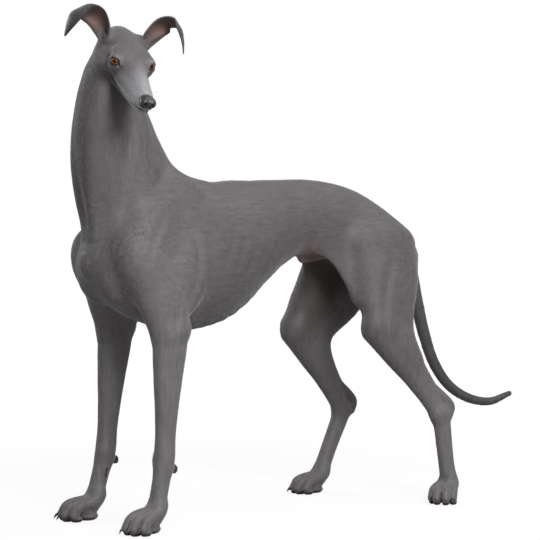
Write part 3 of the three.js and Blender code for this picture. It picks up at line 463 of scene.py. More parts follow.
def head_to_body(points):
    return np.asarray(points, float) * HEAD_SIZE @ HEAD_AXES.T + HEAD_PLACE


def body_to_head(points):
    return (np.asarray(points, float) - HEAD_PLACE) @ HEAD_AXES / HEAD_SIZE


def way_of(out, up):
    """A direction so many degrees out from the nose and up, in the head's own frame."""
    out, up = math.radians(out), math.radians(up)
    return np.array([math.cos(out) * math.cos(up), math.sin(out) * math.cos(up), math.sin(up)])


def eye_at(side):
    return EYE_AT * (1, side, 1)


def by_eye(side, rows):
    """Stations placed from the middle of the eyeball: ahead, outward, up, half width, half depth."""
    return [(*(eye_at(side) + (ahead, side * out, up)), wide, deep) for ahead, out, up, wide, deep in rows]


def eye_opening(side):
    middle = eye_at(side) + way_of(EYE_OUT * side, EYE_UP) * (EYE_RADIUS + 1)
    return Ball(2.4, middle, (9, 9.6, 6.2), (EYE_OUT * side, -EYE_UP, -side * 6), hollow=True)


HEAD = [
    Tube(16, [
        (4, 0, 3, 34, 34), (34, 0, 5, 42, 37), (66, 0, 3, 44, 37), (96, 0, 1, 38, 34.5),
        (124, 0, -1, 30, 30), (156, 0, -2, 25, 27), (196, 0, -4, 21.5, 23), (234, 0, -6, 18.5, 18),
        (250, 0, -6, 15, 14),
    ]),
    Tube(6, [
        (70, 0, -32, 34, 12), (120, 0, -32, 25, 9), (170, 0, -31, 18, 8), (220, 0, -27, 13.5, 7),
        (247, 0, -21, 10, 5.5),
    ]),
    *mirrored(lambda s: [
        Ball(14, (64, s * 38, -16), (34, 18, 26)),
        Tube(13, [
            (118, s * 33, -3, 5, 6), (94, s * 47, -7, 5.5, 7.5), (62, s * 54, -6, 6, 9),
            (36, s * 45, 0, 6, 8),
        ]),
        Ball(18, (110, s * 26, 24), (22, 11, 7), (s * -14, 8, 0)),
        Ball(14, (34, s * 35, 24), (20, 13, 13)),
        Tube(6, [
            (104, s * 25, -20, 1.5, 3), (132, s * 25.5, -19.5, 3, 4.5), (160, s * 22.5, -19.5, 3.5, 5.5),
            (200, s * 18.5, -18.5, 4, 6), (238, s * 12.5, -13, 4, 5.5),
        ]),
        Ball(13, eye_at(s), (EYE_RADIUS + LID,) * 3),
        # Upper lid, lower lid, the opening between them and the inner corner of the eye
        Tube(3, by_eye(s, [
            (11, -5, 1, 1.6, 1.6), (10.4, 2, 8.3, 2.4, 2.2), (6.5, 8.8, 7.6, 2.1, 2.0),
            (0, 11.2, 3.6, 1.4, 1.4), (-5, 11.5, 0, 1.2, 1.2),
        ])),
        Tube(3, by_eye(s, [
            (12, -5, -3, 1.4, 1.4), (11, 3, -7, 1.8, 1.6), (4, 11, -6.5, 1.8, 1.6),
            (-5, 11.5, -1, 1.2, 1.2),
        ])),
        eye_opening(s),
        Tube(1.2, by_eye(s, [(13, -2, -1, 2, 2.2), (16, -6.5, -3.5, 1, 1.2)]), hollow=True),
    ]),
]

# Leather of the nose
NOSE = [
    Ball(6, (254, 0, 1), (13, 14.5, 11)),
    *mirrored(lambda s: [
        Ball(4, (260.6, s * 7.5, 0.5), (8.3, 7.5, 8)),
        Tube(1.5, [
            (272, s * 5, 0.5, 2.6, 3.2), (264, s * 8, 0, 2.4, 3.4), (256, s * 14.5, -2, 1.4, 2.2),
        ], hollow=True),
    ]),
    Tube(1.6, [  # groove down the middle
        (272, 0, 3, 0.5, 0.5), (273, 0, -4, 0.9, 0.9), (267, 0, -12, 1.1, 1.1),
    ], hollow=True),
]

# Line of the mouth seen from the side, from its corner to the chin
MOUTH = ((122, -25), (160, -26.5), (205, -25.5), (238, -20), (268, -14))
MOUTH_OPEN = 2.0
MOUTH_DEPTH = 3.6
MOUTH_CORE = ((130, 13), (255, 8), (285, 2))  # half the width that stays whole between the lips
MOUTH_ROOM = np.array([(118, -60, -36), (275, 60, -8)])  # corners of the box that the slot is cut in
LIP_DEPTH, LIP_FLARE, LIP_MOST = 2.5, 0.3, 0.7  # the slot widens outwards from this depth
LIP_MELT, SOLE_MELT = 1.2, 1.6
SOLE_BARE, SOLE_FADE = 6, 20  # no coat up to this height, and its full depth so much higher

# The ear as a curved sheet from root to tip: middle of each row, the way its hollow side faces,
# half its width along the surface, and how far the row curls round, in degrees each side.
EAR = (
    ((36, 34, 20), (0.8, 0.5, 0.2), 19, 120), ((28, 48, 44), (0.88, 0.3, 0.1), 24, 85),
    ((22, 66, 66), (0.9, 0.2, -0.2), 28, 60), ((24, 87, 76), (0.75, 0.05, -0.65), 28, 42),
    ((34, 104, 66), (0.15, -0.35, -0.9), 22, 32), ((43, 114, 44), (-0.25, -0.8, -0.4), 13, 24),
    ((48, 119, 20), (-0.3, -0.85, -0.3), 2, 20),
)
EAR_THICK = 2.8
EAR_TIP_LESS, EAR_EDGE_LESS = 0.25, 0.3  # thinner by these shares at the tip and at the edge
EAR_DRAWN = 5.0  # thickness while the surface is drawn
EAR_DRAWN_OUT = 0.8  # how far the drawn surface can lie outside that
THIN_FROM, THIN_OVER = 0.1, 0.2  # shares of its length past the root, over which it gets its real size
EAR_ROWS, EAR_COLUMNS = 36, 24


class Ear:
    """The sheet of an ear, as the distance to its middle layer less half its thickness."""

    hollow = False
    melt = 5

    def __init__(self, side):
        mirror = np.array([1, side, 1])
        middle = curve_through([at * mirror for at, _, _, _ in EAR], EAR_ROWS, True)
        faces = curve_through([way * mirror for _, way, _, _ in EAR], EAR_ROWS, True)
        shape = curve_through([(half, curl) for _, _, half, curl in EAR], EAR_ROWS, True)
        along = unit(np.gradient(middle, axis=0))
        self.along = along @ HEAD_AXES.T
        hollow_way = unit(faces - (faces * along).sum(1, keepdims=True) * along)
        side_way = np.cross(along, hollow_way) * side
        self.points = []
        for i in range(EAR_ROWS + 1):
            half, bend = shape[i, 0], math.radians(shape[i, 1])
            radius = half / bend
            for j in range(EAR_COLUMNS + 1):
                turn = bend * (2 * j / EAR_COLUMNS - 1)
                across = side_way[i] * math.sin(turn) * radius
                self.points.append(middle[i] + across + hollow_way[i] * radius * (1 - math.cos(turn)))
        self.points = head_to_body(self.points)
        quads = []
        for i in range(EAR_ROWS):
            for j in range(EAR_COLUMNS):
                a = i * (EAR_COLUMNS + 1) + j
                quads.append((a, a + 1, a + EAR_COLUMNS + 2, a + EAR_COLUMNS + 1))
        self.tree = BVHTree.FromPolygons(self.points.tolist(), quads)
        edge = np.abs(2 * (np.arange(EAR_COLUMNS) + 0.5) / EAR_COLUMNS - 1)
        row = (np.arange(EAR_ROWS) + 0.5) / EAR_ROWS
        self.half = np.outer(1 - EAR_TIP_LESS * row, 1 - EAR_EDGE_LESS * edge**3).ravel() * EAR_THICK / 2

    def box(self):
        reach = EAR_DRAWN + COAT_DEPTH
        return self.points.min(0) - reach, self.points.max(0) + reach

    def distance(self, points, most):
        away = [self.tree.find_nearest(p)[3] for p in points.tolist()]
        return np.array(away) - EAR_DRAWN / 2 - COAT_DEPTH

    def met(self, points):
        """Each point close to the sheet: its number, and the nearest place, normal, face and distance."""
        low, high = self.box()
        for i in np.flatnonzero(((points > low) & (points < high)).all(1)):
            yield i, *self.tree.find_nearest(points[i].tolist())

    def places(self, points):
        """Which points lie on the ear, and there: share of the way to the tip, share of the way to the
        edge, on which face of the sheet, and the way to the tip."""
        which, rows, edges, sides, along = [], [], [], [], []
        for i, on_sheet, normal, face, away in self.met(points):
            if away < EAR_DRAWN:
                row, column = divmod(face, EAR_COLUMNS)
                which.append(i)
                rows.append((row + 0.5) / EAR_ROWS)
                edges.append(abs(2 * (column + 0.5) / EAR_COLUMNS - 1))
                sides.append(np.dot(points[i] - on_sheet, normal))
                along.append(self.along[row])
        which, rows, edges, sides = np.array(which, int), np.array(rows), np.array(edges), np.array(sides)
        return which, rows, edges, sides, np.array(along).reshape(-1, 3)

    def thinned(self, points):
        """The ear is drawn thick, so that both faces come out clean, and then thinned to its real size."""
        for i, on_sheet, _, face, away in self.met(points):
            past_root = np.clip((face // EAR_COLUMNS / EAR_ROWS - THIN_FROM) / THIN_OVER, 0, 1)
            if past_root > 0 and 0.1 < away < EAR_DRAWN / 2 + EAR_DRAWN_OUT:
                share = 1 - past_root * (1 - self.half[face] / (EAR_DRAWN / 2))
                points[i] = np.array(on_sheet) + (points[i] - on_sheet) * share
        return points


EARS = [Ear(side) for side in (1, -1)]
STANCES = [*FORE_STANCE.values(), *HIND_STANCE.values()]
BODY = [
    *TRUNK, *RUMP, *SHOULDERS, *SHEATH, *NECK, *NECK_MUSCLES, *FLANKS, *TAIL,
    *(piece for stance in FORE_STANCE.values() for piece in foreleg(**stance)),
    *(piece for stance in HIND_STANCE.values() for piece in hindleg(**stance)),
]

# Furrows between the muscles and ribs, seen from the side: places (x, z), how far the line floats over
# the skin, which makes it shallower, and how wide it melts in.
FURROWS = (
    ([(256, 650), (232, 596), (230, 530), (252, 470)], 5, 22),  # behind the shoulder
    ([(312, 650), (344, 604), (370, 556)], 8, 20),  # before the shoulder blade
    ([(268, 500), (292, 450), (320, 400)], 6, 16),  # under the upper arm
    *(([(x, 640), (x + 6, 590), (x + 22, 540), (x + 40, 500)], 10, 16) for x in (34, 68, 102, 136)),  # ribs
    ([(366, 900), (376, 820), (392, 740), (400, 660)], 7, 24),  # side of the neck
)
ENDS_LIFT = 7.0  # a furrow fades out as its ends float higher

# The same on a leg: the two joints, and places as (share of the way between them, distance ahead)
FORELEG_FURROWS = (
    ("elbow", "wrist", [(0.08, -14), (0.35, -11), (0.7, -8)], 3, 9),
    ("elbow", "wrist", [(0.1, 12), (0.35, 11), (0.62, 8)], 4, 9),
)
HINDLEG_FURROWS = (
    ("hip", "knee", [(0.05, -6), (0.4, 6), (0.75, 10), (1.1, 6)], 5, 20),  # before the thigh's muscle
    ("hip", "knee", [(0.15, -74), (0.6, -60), (1.0, -36)], 6, 18),  # behind it
    ("knee", "hock", [(0.25, 4), (0.5, 2), (0.8, 1)], 3, 10),
    ("knee", "hock", [(0.5, -20), (0.7, -18), (0.9, -16)], 3, 8),  # before the heel's tendon
)


def furrow(side, places, lift, melt):
    """A shallow groove along the skin, through places seen from the side."""
    body = Field(BODY)
    out = np.arange(160, 5, -1.0)  # from well outside the skin inwards
    stations = []
    for x, z in places:
        ray = np.stack([np.full_like(out, x), side * out, np.full_like(out, z)], 1)
        skin = out[np.argmax(body.near(ray) < 0)]
        stations.append((x, side * (skin + lift), z, 1, 1))
    for end in (0, -1):
        x, y, *others = stations[end]
        stations[end] = (x, y + side * ENDS_LIFT, *others)
    return Tube(melt, stations, hollow=True)


def leg_furrow(stance, start, end, places, lift, melt):
    spots = [mixed(stance[start], stance[end], share) + (ahead, 0, 0) for share, ahead in places]
    return furrow(stance["side"], [(x, z) for x, _, z in spots], lift, melt)


ANIMAL = Field([
    *BODY,
    *mirrored(lambda s: [furrow(s, *line) for line in FURROWS]),
    *(leg_furrow(stance, *line) for stance in FORE_STANCE.values() for line in FORELEG_FURROWS),
    *(leg_furrow(stance, *line) for stance in HIND_STANCE.values() for line in HINDLEG_FURROWS),
    *(in_head(piece) for piece in HEAD),
    *EARS,
    *(paw(**stance) for stance in STANCES),
])


def skin_field(points):
    """The skin, which lies under the coat, with soles flat on the floor and the mouth cut in."""
    sole = points[:, 2]
    d = ANIMAL(points) + COAT_DEPTH * np.clip((sole - SOLE_BARE) / SOLE_FADE, 0, 1)
    q = body_to_head(points)
    near = ((q > MOUTH_ROOM[0]) & (q < MOUTH_ROOM[1])).all(1)
    if near.any():
        q, depth = q[near] * HEAD_SIZE, -d[near]
        line = np.array(MOUTH) * HEAD_SIZE
        open_half = MOUTH_OPEN / 2 + np.clip((LIP_DEPTH - depth) * LIP_FLARE, 0, LIP_MOST)
        slot = np.abs(q[:, 2] - np.interp(q[:, 0], line[:, 0], line[:, 1])) - open_half
        slot = np.maximum(slot, depth - MOUTH_DEPTH)
        slot = np.maximum(slot, line[0, 0] - q[:, 0])
        slot = np.maximum(slot, np.interp(q[:, 0], *zip(*MOUTH_CORE)) - np.abs(q[:, 1]))
        d[near] = -melted(depth, slot, LIP_MELT)
    return -melted(-d, sole, SOLE_MELT)


# Mesh


def blocks_near(field, low, shape, cell, block):
    """Evaluates the field on the grid, but only in the blocks of cells that lie near the surface."""
    counts = [(n - 1) // block for n in shape]
    values = np.full(counts, FAR)
    coarse = 4  # blocks to a side that are looked at together first
    reach = block * cell * 1.1  # a block whose middle lies nearer to the surface than this may meet it
    rough = np.meshgrid(*[np.arange(0, n, coarse) for n in counts], indexing="ij")
    rough = np.stack(rough, -1).reshape(-1, 3)
    d = field(low + (rough + coarse / 2) * block * cell)
    for i, j, k in rough[np.abs(d) < coarse * reach]:
        values[i:i + coarse, j:j + coarse, k:k + coarse] = 0
    for (i, j, k), inside in zip(rough, d < 0):
        if inside and values[i, j, k] > 0:
            values[i:i + coarse, j:j + coarse, k:k + coarse] = -FAR
    index = np.argwhere(values == 0)
    values[tuple(index.T)] = field(low + (index + 0.5) * block * cell)
    near = np.abs(values) < reach
    for axis in range(3):
        values = np.repeat(values, block, axis)
    values = np.pad(values, [(0, 1)] * 3, mode="edge")
    mask = np.zeros(shape, bool)
    for shift in np.ndindex(2, 2, 2):
        grown = near
        for axis in range(3):
            grown = np.repeat(grown, block, axis)
        mask[tuple(slice(s, n - 1 + s) for s, n in zip(shift, shape))] |= grown
    at = np.argwhere(mask)
    values[tuple(at.T)] = field(low + at * cell)
    return values


def net(field, low, high, cell, block=4):
    """The surface as one vertex in each cell that it crosses, and a quad round each crossed edge."""
    low = np.array(low, float)
    shape = tuple(int(np.ceil(s / cell / block)) * block + 1 for s in np.array(high) - low)
    values = blocks_near(field, low, shape, cell, block)
    inside = values < 0
    cells = tuple(n - 1 for n in shape)
    corners = [(a, b, c) for a in (0, 1) for b in (0, 1) for c in (0, 1)]
    part = lambda v, c: v[c[0]:c[0] + cells[0], c[1]:c[1] + cells[1], c[2]:c[2] + cells[2]]
    count = sum(part(inside, c).astype(np.int8) for c in corners)
    active = np.argwhere((count > 0) & (count < 8))
    at = {c: values[tuple((active + c).T)] for c in corners}
    total = np.zeros((len(active), 3))
    crossings = np.zeros(len(active))
    for a in corners:
        for axis in range(3):
            if a[axis]:
                continue
            b = tuple(v + (n == axis) for n, v in enumerate(a))
            crossed = (at[a] < 0) != (at[b] < 0)
            share = at[a] / np.where(crossed, at[a] - at[b], 1)
            place = np.array(a, float) + np.outer(share, np.array(b, float) - a)
            total += np.where(crossed[:, None], place, 0)
            crossings += crossed
    points = low + (active + total / crossings[:, None]) * cell
    number = np.full(cells, -1)
    number[tuple(active.T)] = np.arange(len(active))
    quads = []
    for axis in range(3):
        u, w = np.eye(3, dtype=int)[[(axis + 1) % 3, (axis + 2) % 3]]
        step = np.eye(3, dtype=int)[axis]
        grid = np.argwhere(inside[tuple(slice(0, n - s) for n, s in zip(shape, step))]
                           != inside[tuple(slice(s, n) for n, s in zip(shape, step))])
        grid = grid[(grid[:, (axis + 1) % 3] > 0) & (grid[:, (axis + 2) % 3] > 0)]
        grid = grid[(grid < cells).all(1)]
        ring = np.stack([number[tuple((grid - shift).T)] for shift in (0 * u, u, u + w, w)], 1)
        flip = ~inside[tuple(grid.T)]
        ring[flip] = ring[flip][:, ::-1]
        quads.append(ring)
    quads = np.vstack(quads)
    return points, quads[(quads >= 0).all(1)]


def relaxed(points, quads, rounds, share=0.5):
    """Moves each vertex a little towards the middle of its neighbours."""
    for _ in range(rounds):
        total = np.zeros_like(points)
        count = np.zeros(len(points))
        for a, b in ((0, 1), (1, 2), (2, 3), (3, 0)):
            for start, end in ((quads[:, a], quads[:, b]), (quads[:, b], quads[:, a])):
                np.add.at(total, start, points[end])
                np.add.at(count, start, 1)
        points = points * (1 - share) + share * total / np.maximum(count, 1)[:, None]
    return points


def settled(field, points, most):
    """Moves each vertex onto the surface, at most so far."""
    step = 0.2
    d = field(points)
    slope = np.stack([(field(points + np.eye(3)[axis] * step) - d) / step for axis in range(3)], 1)
    move = -d / np.maximum((slope * slope).sum(1), 0.1)
    move = slope * move[:, None]
    length = np.linalg.norm(move, axis=1, keepdims=True)
    return points + move * np.minimum(1, most / np.maximum(length, 1e-6))


def surface(field, low, high, cell, rounds=2):
    points, quads = net(field, low, high, cell)
    points = relaxed(points, quads, rounds)
    return settled(field, points, cell * 0.6), quads


EVEN_ROUNDS, EVEN_IN, EVEN_BACK = 8, 0.5, -0.53


def evened(points, quads):
    """Takes small ripples out of a surface: each round relaxes it, and swells it back to its size."""
    for _ in range(EVEN_ROUNDS):
        points = relaxed(relaxed(points, quads, 1, EVEN_IN), quads, 1, EVEN_BACK)
    return points


def metres(points):
    """From the drawing's millimetres to the frame's place in metres."""
    return (np.asarray(points, float) + ORIGIN) / 1000


def placed(name, data):
    """A new object in the scene."""
    obj = bpy.data.objects.new(name, data)
    bpy.context.scene.collection.objects.link(obj)
    return obj


def object_of(name, points, faces):
    """A mesh object. Points are in the drawing's millimetres."""
    mesh = bpy.data.meshes.new(name)
    mesh.from_pydata(metres(np.clip(points, *BOX)).tolist(), [], faces.tolist())
    return placed(name, mesh)


def select_only(*objects):
    bpy.ops.object.select_all(action="DESELECT")
    for obj in objects:
        obj.select_set(True)
    bpy.context.view_layer.objects.active = objects[0]


@contextmanager
def edited(piece):
    """The mesh of a piece, open to the edit operators."""
    bm = bmesh.new()
    bm.from_mesh(piece.data)
    yield bm
    bm.to_mesh(piece.data)
    bm.free()


def cut_away(piece, point, way):
    """Removes all of a mesh that lies past the plane. way is the direction past it."""
    with edited(piece) as bm:
        bmesh.ops.bisect_plane(
            bm, geom=bm.verts[:] + bm.edges[:] + bm.faces[:], dist=1e-6,
            plane_co=Vector(metres(point)), plane_no=Vector(way), clear_outer=True,
        )
        loose = [v for v in bm.verts if not v.link_faces]
        bmesh.ops.delete(bm, geom=loose, context="VERTS")


PAW_TOP = 74
SEAM = 1.2  # between two cut edges that are sewn together
HEAD_CUT = head_to_body((98, 0, -50))  # the plane between head and neck, and the way down the neck
HEAD_CUT_WAY = HEAD_AXES @ unit(np.array([-0.28, 0, -0.96]))

# Boxes that the surface is looked for in: the head's in its own frame, a paw's round the paw
BODY_ROOM = (-760, -240, PAW_TOP - 12), (480, 240, 1050)
HEAD_ROOM = np.array([(-80, -150, -75), (285, 150, 118)]) * HEAD_SIZE
PAW_ROOM = np.array([(-80, -56, -6), (72, 56, PAW_TOP + 10)])


def sewn(piece):
    """Closes the seams between the lengths of skin: each pair of open rims gets a band of faces."""
    with edited(piece) as bm:
        loops = []
        left = dict.fromkeys(e for e in bm.edges if e.is_boundary)  # in order, so each run sews alike
        while left:
            loop, queue = [], [left.popitem()[0]]
            while queue:
                e = queue.pop()
                loop.append(e)
                for v in e.verts:
                    for other in v.link_edges:
                        if other in left:
                            del left[other]
                            queue.append(other)
            loops.append(loop)
        middles = [sum((v.co for e in loop for v in e.verts), Vector()) / (2 * len(loop)) for loop in loops]
        while loops:
            loop, middle = loops.pop(), middles.pop()
            other = min(range(len(loops)), key=lambda i: (middles[i] - middle).length)
            middles.pop(other)
            bmesh.ops.bridge_loops(bm, edges=loop + loops.pop(other))
        bmesh.ops.recalc_face_normals(bm, faces=bm.faces[:])


def with_fewer_faces(piece, count):
    """Takes a piece down to so many triangles, and most of them where it is flattest."""
    triangles = len(piece.data.loops) - 2 * len(piece.data.polygons)
    thin = piece.modifiers.new("thin", "DECIMATE")
    thin.ratio = min(1, count / triangles)
    select_only(piece)
    bpy.ops.object.modifier_apply(modifier="thin")


def build_skin():
    points, quads = surface(skin_field, *BODY_ROOM, BODY_CELL)
    body = object_of("skin", evened(points, quads), quads)
    cut_away(body, HEAD_CUT - HEAD_CUT_WAY * -SEAM / 2, -HEAD_CUT_WAY)
    cut_away(body, (0, 0, PAW_TOP + SEAM / 2), (0, 0, -1))
    with_fewer_faces(body, BODY_FACES)

    headward = lambda points: skin_field(points @ HEAD_AXES.T + HEAD_PLACE)
    points, quads = surface(headward, *HEAD_ROOM, HEAD_CELL, 1)
    points = points @ HEAD_AXES.T + HEAD_PLACE
    for ear in EARS:
        points = ear.thinned(points)
    head = object_of("head_skin", relaxed(points, quads, 1, 0.3), quads)
    cut_away(head, HEAD_CUT - HEAD_CUT_WAY * SEAM / 2, HEAD_CUT_WAY)
    with_fewer_faces(head, HEAD_FACES)
    paws = []
    for stance in STANCES:
        points, quads = surface(skin_field, *(PAW_ROOM + [*stance["paw"], 0]), PAW_CELL, 1)
        one = object_of("paw_skin", points, quads)
        cut_away(one, (0, 0, PAW_TOP - SEAM / 2), (0, 0, 1))
        with_fewer_faces(one, PAW_FACES)
        paws.append(one)
    select_only(body, head, *paws)
    bpy.ops.object.join()
    sewn(body)
    return body


skin = build_skin()
bpy.context.view_layer.update()
select_only(skin)
bpy.ops.object.shade_smooth()


# Markings, as numbers from 0 to 1 at each point


def soft(values, start, end):
    """0 before the start, 1 past the end, and smooth between."""
    share = np.clip((values - start) / (end - start), 0, 1)
    return share * share * (3 - 2 * share)


def headness(points):
    """1 on the head, 0 on the neck."""
    return soft((points - HEAD_CUT) @ -HEAD_CUT_WAY, -14, 14)


EYE_OPENINGS = [in_head(eye_opening(side)) for side in (1, -1)]
LEATHER = Field([in_head(piece) for piece in NOSE])


def markings(points, normals):
    """pale: muzzle and lower legs, and a painted highlight on the shoulders. bare: thin-haired pinkish
    skin.
    dark: lips, lid rims, ear rims and backs, pads, and painted shade on the tail and the insides of the
    thighs. facial and upright: where the hair's streaks run along the head and down the legs and neck."""
    q = body_to_head(points)
    x, y, z = points.T
    facial = headness(points)
    # pale on the muzzle, and a painted highlight on the shoulders, the chest front and the forelegs
    pale = np.maximum(facial * soft(q[:, 0], 120, 225), 0.16 * soft(x, 150, 300) * soft(z, 760, 600))
    pale = np.maximum(pale, 0.14 * soft(z, 340, 220) * (x < 0))

    # Lips, lid rims and the rim of the nose leather
    line = np.interp(q[:, 0], *np.array(MOUTH).T)
    dark = facial * soft(np.abs(q[:, 2] - line), 2.6, 1.0) * soft(q[:, 0], 116, 126)
    near = np.flatnonzero(facial > 0.5)
    for opening in EYE_OPENINGS:
        rim = opening.distance(points[near], FAR) / HEAD_SIZE
        dark[near] = np.maximum(dark[near], soft(rim, 4.2, 1.6))
        pale[near] = np.maximum(pale[near], 0.35 * soft(rim, 14, 5))
    tip = near[q[near, 0] > 235]
    dark[tip] = np.maximum(dark[tip], soft(LEATHER(points[tip]), 3.5, 0.8))

    # Soles and wrist pads, and painted shade on the tail
    dark = np.maximum(dark, soft(z, 9, 5) * soft(normals[:, 2], 0.5, 0.1))
    # painted shade: the tail is made darker, as it lies out of the light
    dark = np.maximum(dark, 0.6 * soft(x, -400, -540) * (z > 190))
    for stance in FORE_STANCE.values():
        pad = wrist_pad(stance["wrist"]).distance(points, FAR)
        dark = np.maximum(dark, soft(pad, 2.5, -1) * soft(x, 315, 305))

    # Belly, and the insides of the thighs with the fold of the flank: thin-haired skin there, and painted
    # shade on the insides of the thighs
    belly = soft(normals[:, 2], -0.2, -0.9) * soft(x, 60, -60) * soft(z, 400, 450) * soft(np.abs(y), 90, 50)
    inside = soft(-normals[:, 1] * np.sign(y), 0.1, 0.8) * soft(x, -130, -190) * soft(z, 330, 440)
    bare = np.maximum(0.8 * belly, 0.25 * inside) * (1 - facial)
    # painted shade: the insides of the thighs darker, where the legs shade them
    dark = np.maximum(dark, 0.6 * inside)

    # Ears: bare inside, dark at the rim and towards the tip of the back
    for side, ear in zip((1, -1), EARS):
        which, row, edge, inner, _ = ear.places(points)
        past_root = soft(row, 0.06, 0.2)
        bare[which] = np.where(inner * side > 0, past_root * soft(edge, 0.98, 0.8), 0)
        dark[which] = np.maximum(dark[which], 0.75 * past_root * soft(edge, 0.8, 0.95))
        dark[which] = np.maximum(dark[which], 0.75 * soft(row, 0.45, 0.85) * (inner * side <= 0))
        pale[which] = 0
    upright = np.maximum(soft(z, 470, 400), soft(z, 680, 760)) * (1 - facial)
    return {"pale": pale, "bare": bare, "dark": dark, "facial": facial, "upright": upright}


def give(mesh, values):
    """Stores named numbers on the points of a mesh."""
    for name, numbers in values.items():
        layer = mesh.attributes.new(name, "FLOAT", "POINT")
        layer.data.foreach_set("value", np.ascontiguousarray(numbers, np.float32))


def read(collection, name, width, kind=np.float64):
    values = np.empty(len(collection) * width, kind)
    collection.foreach_get(name, values)
    return values.reshape(-1, width)


SKIN_POINTS = read(skin.data.vertices, "co", 3) * 1000 - ORIGIN
SKIN_NORMALS = read(skin.data.vertices, "normal", 3)
SKIN_HAIR = 0.42  # the skin's share between the darkest hair and the lightest
give(skin.data, {**markings(SKIN_POINTS, SKIN_NORMALS), "hair": np.full(len(SKIN_POINTS), SKIN_HAIR)})

# Lie of the coat: chains of joints from head to tail, along which the hair points

JOINTS = ("shoulder", "hip", "elbow", "knee", "wrist", "hock", "knuckle")
CHAINS = [
    [head_to_body((x, 0, 0)) for x in (275, 180, 90, 0)],
    [(372, 0, 960), (364, 0, 860), (344, 0, 760), (290, 0, 700), (180, 0, 700)],
    [(200, 0, 720), (0, 0, 720), (-200, 0, 720), (-330, 0, 670), (-410, 0, 600)],
    [(430, 0, 900), (440, 0, 760), (436, 0, 600), (410, 0, 500), (330, 0, 430), (180, 0, 420), (0, 0, 530)],
    [station[:3] for station in TAIL[0].stations],
    *([(330, s * 80, 660), (260, s * 90, 600), (120, s * 95, 560), (-60, s * 80, 600), (-230, s * 70, 600)]
      for s in (1, -1)),
]
for stance in STANCES:
    seat = [(stance["hip"][0] - 30, stance["side"] * 70, 640)] if "hip" in stance else []
    joints = [stance[joint] for joint in JOINTS if joint in stance]
    toe = np.array([*stance["paw"], 14]) + paw_axes(stance["turn"]) @ (40, 0, 0)
    CHAINS.append([*seat, *joints, toe])

CHAIN_STEPS = 5  # samples between two joints
lie_places, lie_ways = [], []
for chain in CHAINS:
    line = curve_through(chain, (len(chain) - 1) * CHAIN_STEPS, True)
    lie_places.append(line)
    lie_ways.append(unit(np.gradient(line, axis=0)))
LIE_PLACES, LIE_WAYS = np.vstack(lie_places), np.vstack(lie_ways)
LIE_REACH = 25.0  # smooths the change from one chain to the next


def lie(points):
    """The way the hair points: the ways of the nearest samples of the chains, mixed."""
    ways = np.empty_like(points)
    for part in np.array_split(np.arange(len(points)), len(points) // 20_000 + 1):
        away = ((points[part, None] - LIE_PLACES) ** 2).sum(2) + LIE_REACH**2
        ways[part] = (1 / away**2.5) @ LIE_WAYS
    for ear in EARS:
        which, _, _, _, along = ear.places(points)
        ways[which] = along
    return unit(ways)


# Coat: thin flat-lying tufts, rooted on the skin

RANDOM = np.random.default_rng(7)
MOST_TUFTS = 46_000  # in one piece
TUFT_WIDTH, LEAST_WIDTH = 0.11, 0.2  # share of its length, and what comes on top
COVER_WIDTH = 0.25  # the same top for the count of tufts, which lets them cover the skin once
BARE_LESS = 0.75  # share of the tufts that bare skin lacks
ROOT_SUNK = 0.25
MIDDLE_SHARE, MIDDLE_RISE = 0.4, 0.22  # where a tuft is thickest, and by how much
STRAY = 0.13  # how far the ways of the tufts stray from the lie of the coat
LENGTH_SPREAD = (0.7, 1.2)
LIFT_SPREAD = (0.02, 0.075)  # rise of the tip, as a share of the length
BEND_SPREAD = 0.06
HAIR_SPREAD = (0.5, 0.2)  # middle and spread of the share between the darkest hair and the lightest
DARKEST_HAIRED = 0.65  # darker marks than this are lips, rims and pads, which have no hair
UV_PATCH = 0.0015  # half the size of a tuft's patch


def region_of(points):
    """Which piece of the coat each point belongs to."""
    x, y, z = points.T
    out = np.abs(y)
    region = np.full(len(points), "coat_trunk", dtype="U16")
    region[(z > 600) & (x > 280)] = "coat_neck"
    region[(x > 380)] = "coat_neck"
    region[(x > 220) & (z < 430) & (out > 66)] = "coat_forelegs"
    region[(x < -120) & (z < 540) & (out > 30)] = "coat_hindlegs"
    region[((x < -405) & (out < 45) & (z > 340)) | (x < -492)] = "coat_tail"
    region[headness(points) > 0.5] = "coat_head"
    return region


def hair_length(points):
    """Length of the tufts, in millimetres: shorter down the legs, on the paws and on the head."""
    x, y, z = points.T
    q = body_to_head(points)
    length = 8.5 - 3.5 * soft(z, 420, 250)
    behind_thigh = 3 * soft(x, -300, -360) * soft(z, 330, 420) * soft(np.abs(y), 30, 60)
    on_tail = 3 * soft(x, -420, -500)
    length = length + behind_thigh + on_tail
    length = np.where(z < 80, 3.0, length)
    face = headness(points)
    on_head = 4.2 - 1.8 * soft(q[:, 0], 60, 150)
    return length * (1 - face) + on_head * face


mesh = skin.data
mesh.calc_loop_triangles()
TRIANGLES = read(mesh.loop_triangles, "vertices", 3, np.int32)
AREAS = read(mesh.loop_triangles, "area", 1)[:, 0] * 1e6
MIDDLES = SKIN_POINTS[TRIANGLES].mean(1)
REGIONS = region_of(MIDDLES)
LENGTHS = hair_length(MIDDLES)
HAIRLESS = read(mesh.attributes["dark"].data, "value", 1, np.float32)[:, 0][TRIANGLES].max(1)
THIN_HAIRED = read(mesh.attributes["bare"].data, "value", 1, np.float32)[:, 0][TRIANGLES].mean(1)


